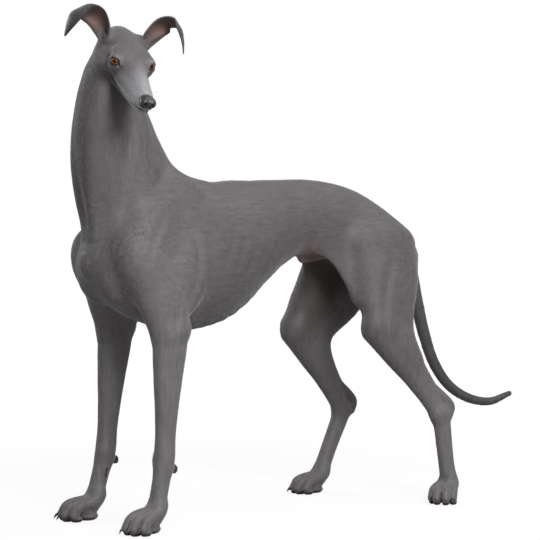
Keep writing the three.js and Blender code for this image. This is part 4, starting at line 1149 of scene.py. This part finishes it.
def unwrapped(name, region):
    """A coarse copy of one region of the skin, laid out flat: its corners in space and on the map."""
    copy = skin.copy()
    copy.data = skin.data.copy()
    copy.name = name
    bpy.context.scene.collection.objects.link(copy)
    with edited(copy) as bm:
        middles = np.array([f.calc_center_median() for f in bm.faces]) * 1000 - ORIGIN
        others = [f for f, r in zip(bm.faces[:], region_of(middles)) if r != region]
        bmesh.ops.delete(bm, geom=others, context="FACES")
    with_fewer_faces(copy, MAP_FACES)
    bpy.ops.object.mode_set(mode="EDIT")
    bpy.ops.mesh.select_all(action="SELECT")
    bpy.ops.mesh.quads_convert_to_tris()
    bpy.ops.uv.smart_project(angle_limit=math.radians(66), island_margin=0.01)
    bpy.ops.object.mode_set(mode="OBJECT")
    flat = copy.data
    corners = read(flat.vertices, "co", 3)
    loops = read(flat.loops, "vertex_index", 1, np.int32)[:, 0].reshape(-1, 3)
    places = read(flat.uv_layers.active.data, "uv", 2, np.float32).reshape(-1, 3, 2)
    bpy.data.objects.remove(copy)
    return corners, loops, places


def map_places(roots, name, region):
    """Where each root lies on the unwrap of its region."""
    corners, loops, places = unwrapped(name, region)
    tree = BVHTree.FromPolygons(corners.tolist(), loops.tolist())
    found = [tree.find_nearest(p)[:3:2] for p in roots.tolist()]
    hits = np.array([hit for hit, _ in found])
    faces = np.array([face for _, face in found])
    a, b, c = (corners[loops[faces, n]] for n in range(3))
    ab, ac, ap = b - a, c - a, hits - a
    d00, d01, d11 = (ab * ab).sum(1), (ab * ac).sum(1), (ac * ac).sum(1)
    d20, d21 = (ap * ab).sum(1), (ap * ac).sum(1)
    whole = d00 * d11 - d01 * d01 + 1e-18
    v = np.clip((d11 * d20 - d01 * d21) / whole, 0, 1)
    w = np.clip((d00 * d21 - d01 * d20) / whole, 0, 1)
    shares = np.stack([1 - v - w, v, w], 1)
    return (places[faces] * shares[:, :, None]).sum(1)


def grow_coat(region):
    """One piece of the coat: each tuft is a closed sliver of four faces."""
    here = np.flatnonzero((REGIONS == region) & (HAIRLESS < DARKEST_HAIRED))
    length = LENGTHS[here]
    width = TUFT_WIDTH * length + COVER_WIDTH
    weight = AREAS[here] / (0.5 * length * width) * (1 - BARE_LESS * THIN_HAIRED[here])
    count = int(min(MOST_TUFTS, weight.sum()))
    chosen = RANDOM.choice(len(here), count, p=weight / weight.sum())
    triangle = TRIANGLES[here[chosen]]
    share = RANDOM.random((count, 2))
    share[share.sum(1) > 1] = 1 - share[share.sum(1) > 1]
    share = np.column_stack([1 - share.sum(1), share])[:, :, None]
    root = (SKIN_POINTS[triangle] * share).sum(1)
    normal = unit((SKIN_NORMALS[triangle] * share).sum(1))
    way = lie(root) + RANDOM.normal(0, STRAY, (count, 3))
    way = unit(way - (way * normal).sum(1, keepdims=True) * normal)
    side = np.cross(normal, way)
    length = (length[chosen] * RANDOM.uniform(*LENGTH_SPREAD, count))[:, None]
    width = (TUFT_WIDTH * length + LEAST_WIDTH) / 2
    lift = length * RANDOM.uniform(*LIFT_SPREAD, (count, 1))
    bend = side * length * RANDOM.normal(0, BEND_SPREAD, (count, 1))
    corners = np.stack([
        root - side * width - normal * ROOT_SUNK,
        root + side * width - normal * ROOT_SUNK,
        root + way * length * MIDDLE_SHARE + normal * (MIDDLE_RISE + lift * MIDDLE_SHARE) + bend,
        root + way * length + normal * lift + bend * 2,
    ], 1).reshape(-1, 3)
    corners = np.clip(corners, *BOX)
    faces = np.array([(0, 2, 1), (0, 3, 2), (1, 2, 3), (0, 1, 3)])
    faces = (faces + 4 * np.arange(count)[:, None, None]).reshape(-1, 3)
    mesh = bpy.data.meshes.new(region)
    mesh.vertices.add(len(corners))
    mesh.vertices.foreach_set("co", metres(corners).astype(np.float32).ravel())
    mesh.loops.add(faces.size)
    mesh.loops.foreach_set("vertex_index", faces.astype(np.int32).ravel())
    mesh.polygons.add(len(faces))
    mesh.polygons.foreach_set("loop_start", np.arange(0, faces.size, 3, dtype=np.int32))
    mesh.polygons.foreach_set("use_smooth", np.ones(len(faces), bool))
    mesh.update()
    piece = placed(region, mesh)
    marks = markings(root, normal)
    marks["hair"] = np.clip(RANDOM.normal(*HAIR_SPREAD, count), 0, 1)
    give(mesh, {name: np.repeat(values, 4) for name, values in marks.items()})
    on_map = map_places(metres(root), f"{region}_unwrap", region)
    patch = np.array([(-1, -1), (1, -1), (0, 0.2), (0, 1)]) * UV_PATCH
    on_map = (on_map[:, None] + patch).reshape(-1, 2)[faces.ravel()]
    uv = mesh.uv_layers.new(name="OFBake")
    uv.data.foreach_set("uv", on_map.astype(np.float32).ravel())
    mesh.normals_split_custom_set_from_vertices(np.repeat(normal, 4, axis=0))
    return piece


COAT = [
    grow_coat(region)
    for region in ("coat_head", "coat_neck", "coat_trunk", "coat_forelegs", "coat_hindlegs", "coat_tail")
]


# Eyes, nose, claws and whiskers


def round_rods(rows, sides, wide=1.0):
    """Closed tapering rods. rows are arrays (rod, row, (x, y, z, radius)); the last row ends in a tip."""
    rows = np.asarray(rows, float)
    count = rows.shape[1]
    points, faces = [], []
    for rod in rows:
        start = len(points)
        along = unit(np.gradient(rod[:, :3], axis=0))
        first = unit(np.cross(along, (0.1, 0.2, 1.0)))
        second = np.cross(along, first)
        for i in range(count - 1):
            for n in range(sides):
                turn = 2 * math.pi * n / sides
                out = first[i] * math.cos(turn) * wide + second[i] * math.sin(turn)
                points.append(rod[i, :3] + out * rod[i, 3])
        points += [rod[0, :3], rod[-1, :3]]
        root, tip = len(points) - 2, len(points) - 1
        last = start + (count - 2) * sides
        for n in range(sides):
            m = (n + 1) % sides
            for i in range(count - 2):
                a, b = start + i * sides, start + (i + 1) * sides
                faces += [(a + n, a + m, b + m), (a + n, b + m, b + n)]
            faces += [(root, start + m, start + n), (tip, last + n, last + m)]
    return np.array(points), np.array(faces)


def smooth_object(name, points, faces):
    piece = object_of(name, points, faces)
    with edited(piece) as bm:
        bmesh.ops.recalc_face_normals(bm, faces=bm.faces[:])
    select_only(piece)
    bpy.ops.object.shade_smooth()
    return piece


# An eye: cornea, pupil and iris, as degrees from the way it looks
GAZE_OUT = (0.55 * EYE_OUT, -6.3)  # turned with the socket, and towards the viewer
GAZE_UP = 14
PUPIL, IRIS, CORNEA = 15, 38, 44
CORNEA_RISE = 0.075  # of the radius


def make_eye(name, side):
    radius = EYE_RADIUS * HEAD_SIZE
    gaze = HEAD_AXES @ way_of(GAZE_OUT[0] * side + GAZE_OUT[1], GAZE_UP)
    turn = Vector((0, 0, 1)).rotation_difference(Vector(gaze)).to_matrix()
    bpy.ops.object.select_all(action="DESELECT")
    bpy.ops.mesh.primitive_uv_sphere_add(segments=64, ring_count=48, radius=radius)
    eye = bpy.context.active_object
    eye.name = eye.data.name = name
    points = read(eye.data.vertices, "co", 3)
    off = np.degrees(np.arccos(np.clip(points[:, 2] / radius, -1, 1)))
    rise = np.cos(np.radians(np.clip(off / CORNEA, 0, 1) * 90)) ** 1.5
    round_way = np.degrees(np.arctan2(points[:, 1], points[:, 0]))
    points = points * (1 + CORNEA_RISE * rise)[:, None]
    points = points @ np.array(turn).T + head_to_body(eye_at(side))
    eye.data.vertices.foreach_set("co", metres(points).ravel())
    give(eye.data, {"off_gaze": off / 90, "round_way": np.abs(round_way) / 180})
    bpy.ops.object.shade_smooth()
    return eye


EYES = {name: make_eye(name, side) for name, side in (("eye_left", 1), ("eye_right", -1))}

LEATHER_CELL = 0.8
NOSE_ROOM = np.array([(238, -19, -18), (275, 19, 16)]) * HEAD_SIZE
in_nose = lambda points: LEATHER(points @ HEAD_AXES.T + HEAD_PLACE)
nose_points, nose_faces = surface(in_nose, *NOSE_ROOM, LEATHER_CELL, 1)
nose = smooth_object("nose_leather", nose_points @ HEAD_AXES.T + HEAD_PLACE, nose_faces)

CLAW_ROWS = 9
CLAW_NARROW = 0.72  # width of a claw by its height


def claw_rows():
    rows = []
    for stance in STANCES:
        axes, place = paw_axes(stance["turn"]), np.array([*stance["paw"], 0.0])
        for side, out, reach, _ in TOES:
            line = [
                (reach + 3, side * out * 1.05, 17, 3.7), (reach + 11, side * out * 1.07, 15, 3.4),
                (reach + 17, side * out * 1.08, 10.5, 2.3), (reach + 20.5, side * out * 1.08, 4.5, 0.3),
            ]
            line = curve_through(line, CLAW_ROWS, True)
            line[:, :3] = line[:, :3] * stance["size"] @ axes.T + place
            rows.append(line)
    for stance in FORE_STANCE.values():
        side = stance["side"]
        x, y, z = mixed(stance["wrist"], stance["knuckle"], 0.34)
        rows.append(curve_through([
            (x - 4, y - side * 15, z - 1, 2.9), (x, y - side * 20.5, z - 8, 2.7),
            (x + 3, y - side * 22.5, z - 14, 1.8), (x + 4, y - side * 21.5, z - 18.5, 0.3),
        ], CLAW_ROWS, True))
    return rows


claws = smooth_object("claws", *round_rods(claw_rows(), 12, CLAW_NARROW))

WHISKER_ROWS = 6


def whisker_rows():
    """Whiskers on the lips, over the eyes and on the cheeks, swept back."""
    rows = []
    lip = [(row, i) for row in range(3) for i in range(5)]
    spots = [(236 - 11 * i - 4 * row, 14.5 + 1.15 * i, -3 - 5 * row, 30 + 2.5 * i) for row, i in lip]
    spots += [(128, 28, 27, 26), (122, 31, 28, 24), (84, 40, -20, 22), (200, 8, -36, 16), (190, 3, -37, 16)]
    for side in (1, -1):
        for x, y, z, length in spots:
            way = unit(np.array([-0.3 + RANDOM.normal(0, 0.2), 0.9, -0.4 + RANDOM.normal(0, 0.2)]))
            length = length * RANDOM.uniform(0.6, 1.1)
            steps = np.linspace(0, 1, WHISKER_ROWS)[:, None]
            line = np.array([x, y - 1.5, z]) + way * steps * length + steps**2 * (-0.25, 0, -0.2) * length
            line = head_to_body(line * (1, side, 1))
            rows.append(np.column_stack([line, 0.16 * (1 - steps[:, 0]) + 0.03]))
    return rows


whiskers = smooth_object("whiskers", *round_rods(whisker_rows(), 4))

# Each piece stands for CAD nodes, which it hides, and rides on the one body

NODES = list(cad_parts)
FLESH = [name for name in NODES if not any(word in name for word in ("eye", "claw", "nose"))]
for piece, nodes, slot in (
    (skin, FLESH, "coat"),
    *((piece, (), "coat") for piece in COAT),
    (whiskers, (), "coat"),
    (nose, ("nose",), "nose"),
    *((eye, (name,), "eye") for name, eye in EYES.items()),
    (claws, [name for name in NODES if "claw" in name], "claw"),
):
    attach(piece, "root")
    if nodes:
        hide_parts(*nodes)


# Materials


def node(tree, kind, values=(), **settings):
    """Adds a shader node. values gives an input, by name or number, a value or another node's output."""
    new = tree.nodes.new("ShaderNode" + kind)
    for key, value in settings.items():
        setattr(new, key, value)
    for key, value in dict(values).items():
        if isinstance(value, bpy.types.NodeSocket):
            tree.links.new(value, new.inputs[key])
        else:
            new.inputs[key].default_value = value
    return new


def new_group(name, inputs, outputs):
    tree = bpy.data.node_groups.new(name, "ShaderNodeTree")
    for in_out, sockets in (("INPUT", inputs), ("OUTPUT", outputs)):
        for socket, kind in sockets.items():
            tree.interface.new_socket(socket, in_out=in_out, socket_type="NodeSocket" + kind)
    return tree, tree.nodes.new("NodeGroupInput").outputs, tree.nodes.new("NodeGroupOutput").inputs


def blend(tree, share, a, b):
    return node(tree, "Mix", {0: share, 6: a, 7: b}, data_type="RGBA").outputs[2]


def ranged(tree, value, low, high, start=0.0, end=1.0, **settings):
    """Carries a value's range over to another one."""
    values = {"Value": value, "From Min": start, "From Max": end, "To Min": low, "To Max": high}
    return node(tree, "MapRange", values, **settings).outputs[0]


def noise(tree, place, scale, detail):
    return node(tree, "TexNoise", {"Vector": place, "Scale": scale, "Detail": detail}).outputs[0]


def scaled(tree, colour, share):
    return node(tree, "VectorMath", {0: colour, "Scale": share}, operation="SCALE").outputs[0]


def streak_group(name, along, across):
    """Streaks that run along the body, down the legs or back from the nose, so many to the metre."""
    inputs = {"Place": "Vector", "Facial": "Float", "Upright": "Float"}
    tree, given, made = new_group(name, inputs, {"Height": "Float"})
    turned = node(tree, "Mapping", {
        "Vector": given["Place"],
        "Rotation": tuple(Matrix(HEAD_AXES.T.tolist()).to_euler("XYZ")),
    })
    heights = []
    for place, scale in (
        (given["Place"], (along, across, across)),
        (given["Place"], (across, across, along)),
        (turned.outputs[0], (along * 2, across * 1.5, across * 1.5)),
    ):
        stretched = node(tree, "Mapping", {"Vector": place, "Scale": scale})
        heights.append(noise(tree, stretched.outputs[0], 1.0, 2.0))
    body = node(tree, "Mix", {0: given["Upright"], 2: heights[0], 3: heights[1]})
    both = node(tree, "Mix", {0: given["Facial"], 2: body.outputs[0], 3: heights[2]})
    tree.links.new(both.outputs[0], made["Height"])
    return tree


def colour_group():
    """Colour of the coat from its markings."""
    marks = dict.fromkeys(("Pale", "Bare", "Dark", "Hair", "Streak"), "Float")
    tree, given, made = new_group("coat colour", {"Place": "Vector", **marks}, {"Colour": "Color"})
    colour = blend(tree, noise(tree, given["Place"], 7.0, 3.0), COAT_DEEP, COAT_LIGHT)
    colour = blend(tree, given["Pale"], colour, MUZZLE_GREY_AND_HIGHLIGHT)
    colour = scaled(tree, colour, ranged(tree, given["Hair"], 0.8, 1.25))
    colour = scaled(tree, colour, ranged(tree, given["Streak"], 0.88, 1.12, 0.3, 0.7))
    colour = blend(tree, given["Bare"], colour, BARE_SKIN)
    colour = blend(tree, given["Dark"], colour, DARK_SKIN_AND_SHADE)
    tree.links.new(colour, made["Colour"])
    return tree


def cobble_group():
    """Height of the small cobbles of the nose leather."""
    tree, given, made = new_group("cobbles", {"Place": "Vector"}, {"Height": "Float"})
    cells = node(tree, "TexVoronoi", {"Vector": given["Place"], "Scale": 720.0}).outputs[0]
    tree.links.new(ranged(tree, cells, 1.0, 0.0, 0.0, 0.7), made["Height"])
    return tree


COAT_DEEP = (0.098, 0.0885, 0.090, 1)
COAT_LIGHT = (0.132, 0.120, 0.1215, 1)
# the muzzle's own lighter grey, also used as the painted highlight on the shoulders and forelegs
MUZZLE_GREY_AND_HIGHLIGHT = (0.31, 0.30, 0.312, 1)
BARE_SKIN = (0.16, 0.098, 0.082, 1)
# dark skin of the lips, rims and pads, also used as painted shade on the tail and the insides of the thighs
DARK_SKIN_AND_SHADE = (0.022, 0.019, 0.02, 1)
HAIR_HEIGHT, COBBLE_HEIGHT = 0.0008, 0.0003  # of the bump, in metres
FINE_STREAKS = streak_group("hair streaks", 130.0, 1150.0)
BROAD_STREAKS = streak_group("coat streaks", 22.0, 170.0)
COLOUR_GROUP, COBBLE_GROUP = colour_group(), cobble_group()


def material_of(name, *pieces):
    material = bpy.data.materials.new(name)
    material.use_nodes = True
    for piece in pieces:
        piece.data.materials.append(material)
    return material.node_tree, material.node_tree.nodes["Principled BSDF"]


def set_values(shader, **values):
    for name, value in values.items():
        shader.inputs[name.replace("_", " ")].default_value = value


def grouped(tree, group, values):
    return node(tree, "Group", values, node_tree=group).outputs[0]


def bumped(tree, shader, height, strength, distance):
    bump = node(tree, "Bump", {"Height": height, "Strength": strength, "Distance": distance})
    tree.links.new(bump.outputs[0], shader.inputs["Normal"])


def attribute(tree, name):
    return node(tree, "Attribute", attribute_name=name).outputs["Fac"]


def place_of(tree):
    return node(tree, "TexCoord").outputs["Object"]


def coat_material(name, bump_strength, *pieces):
    tree, shader = material_of(name, *pieces)
    place = place_of(tree)
    marks = {mark.capitalize(): attribute(tree, mark) for mark in ("pale", "bare", "dark", "hair")}
    lies = {mark.capitalize(): attribute(tree, mark) for mark in ("facial", "upright")}
    marks["Streak"] = grouped(tree, BROAD_STREAKS, {"Place": place, **lies})
    tree.links.new(grouped(tree, COLOUR_GROUP, {"Place": place, **marks}), shader.inputs["Base Color"])
    bumped(tree, shader, grouped(tree, FINE_STREAKS, {"Place": place, **lies}), bump_strength, HAIR_HEIGHT)
    tree.links.new(ranged(tree, marks["Dark"], 0.58, 0.36), shader.inputs["Roughness"])
    set_values(shader, Sheen_Weight=0.4, Sheen_Roughness=0.4, Sheen_Tint=(0.86, 0.92, 1, 1))
    set_values(shader, Specular_IOR_Level=0.38)


coat_material("coat_skin", 0.35, skin)
coat_material("coat_hair", 0.2, *COAT)

tree, shader = material_of("nose_leather", nose)
bumped(tree, shader, grouped(tree, COBBLE_GROUP, {"Place": place_of(tree)}), 0.25, COBBLE_HEIGHT)
set_values(shader, Base_Color=(0.032, 0.027, 0.028, 1), Roughness=0.42, Coat_Weight=0.1, Coat_Roughness=0.2)

tree, shader = material_of("horn", claws)
grain = noise(tree, place_of(tree), 420.0, 3.0)
horn = blend(tree, grain, (0.02, 0.017, 0.016, 1), (0.075, 0.062, 0.054, 1))
tree.links.new(horn, shader.inputs["Base Color"])
set_values(shader, Roughness=0.32)

tree, shader = material_of("whisker", whiskers)
set_values(shader, Base_Color=(0.05, 0.048, 0.05, 1), Roughness=0.45)

EYE_COLOURS = (  # degrees from the way the eye looks, and the colour there
    (PUPIL, (0.002, 0.002, 0.002, 1)), (PUPIL + 2, (0.055, 0.02, 0.006, 1)),
    (PUPIL + 8, (0.23, 0.085, 0.018, 1)), (IRIS - 7, (0.30, 0.115, 0.025, 1)),
    (IRIS - 1, (0.05, 0.02, 0.009, 1)), (IRIS + 4, (0.03, 0.018, 0.014, 1)),
    (IRIS + 12, (0.36, 0.26, 0.22, 1)),
)
tree, shader = material_of("eye_wet", *EYES.values())
round_way = attribute(tree, "round_way")
fibres = node(tree, "TexNoise", {"W": round_way, "Scale": 42.0, "Detail": 3.0}, noise_dimensions="1D")
ramp = node(tree, "ValToRGB", {0: attribute(tree, "off_gaze")})
points = ramp.color_ramp.elements
while len(points) < len(EYE_COLOURS):
    points.new(0.5)
for point, (degrees, colour) in zip(points, EYE_COLOURS):
    point.position, point.color = degrees / 90, colour
tinted = scaled(tree, ramp.outputs[0], ranged(tree, fibres.outputs[0], 0.55, 1.35))
tree.links.new(tinted, shader.inputs["Base Color"])
set_values(shader, Roughness=0.4, Coat_Weight=0.7, Coat_Roughness=0.02, Specular_IOR_Level=0.1)

# Floor, light and camera

FLOOR_SIZE = 60
FADE_START, FADE_END = 0.75, 2.2  # where the floor turns into the white round it, in metres
FADE_LEAST = 0.86  # share of that white which the floor has all over
FLOOR_LIT, FLOOR_SEEN = (0.4, 0.39, 0.39, 1), (0.9, 0.9, 0.9, 1)  # as the animal and the camera see it
GLOW = 1.02

bpy.ops.object.select_all(action="DESELECT")
bpy.ops.mesh.primitive_plane_add(size=FLOOR_SIZE, location=(0, 0, 0))
floor = bpy.context.active_object
floor.name = "floor"
tree, shader = material_of("white_floor", floor)
seen = node(tree, "LightPath").outputs["Is Camera Ray"]
tree.links.new(blend(tree, seen, FLOOR_LIT, FLOOR_SEEN), shader.inputs["Base Color"])
set_values(shader, Roughness=0.9, Specular_IOR_Level=0.1)
away = node(tree, "VectorMath", {0: place_of(tree)}, operation="LENGTH").outputs["Value"]
fade = ranged(tree, away, FADE_LEAST, 1.0, FADE_START, FADE_END, interpolation_type="SMOOTHSTEP")
share = node(tree, "Math", {0: fade, 1: seen}, operation="MULTIPLY")
glow = node(tree, "Emission", {"Color": (1, 1, 1, 1), "Strength": GLOW})
both = node(tree, "MixShader", {0: share.outputs[0], 1: shader.outputs[0], 2: glow.outputs[0]})
tree.links.new(both.outputs[0], tree.nodes["Material Output"].inputs["Surface"])

ROOM_LIGHT = 0.35  # the white room as the animal sees it; the camera sees it pure white
world = bpy.data.worlds.new("studio")
world.use_nodes = True
tree = world.node_tree
background = tree.nodes["Background"]
background.inputs["Color"].default_value = (1, 1, 1, 1)
seen = node(tree, "LightPath").outputs["Is Camera Ray"]
tree.links.new(ranged(tree, seen, ROOM_LIGHT, 1.0), background.inputs["Strength"])
bpy.context.scene.world = world
bpy.context.scene.view_settings.view_transform = "Standard"

# The camera's place in metres, and the way it looks in radians, as fitted to the photograph
CAMERA_PLACE = (2.49596, 3.1826, 0.60324)
YAW, PITCH = 4.06426, 0.0183755
LENS, SENSOR = 121.4, 36

camera_data = bpy.data.cameras.new("camera")
camera_data.sensor_width = SENSOR
camera_data.lens = LENS
camera = placed("camera", camera_data)
forward = Vector((math.cos(YAW) * math.cos(PITCH), math.sin(YAW) * math.cos(PITCH), -math.sin(PITCH)))
camera.location = CAMERA_PLACE
camera.rotation_euler = forward.to_track_quat("-Z", "Y").to_euler()
bpy.context.scene.camera = camera


LIT_SPOT = Vector((0, 0, 0.5))  # all lights point at it
for name, place, size, power in (
    ("key", (0.9, 3.6, 2.5), 1.5, 138),
    ("top", (-0.8, 0.8, 3.2), 2.2, 30),
    ("fill", (1.6, -3.4, 1.9), 2.0, 45),
):
    data = bpy.data.lights.new(name, "AREA")
    data.size = size
    data.energy = power
    light = placed(name, data)
    light.location = place
    light.rotation_euler = (LIT_SPOT - Vector(place)).to_track_quat("-Z", "Y").to_euler()
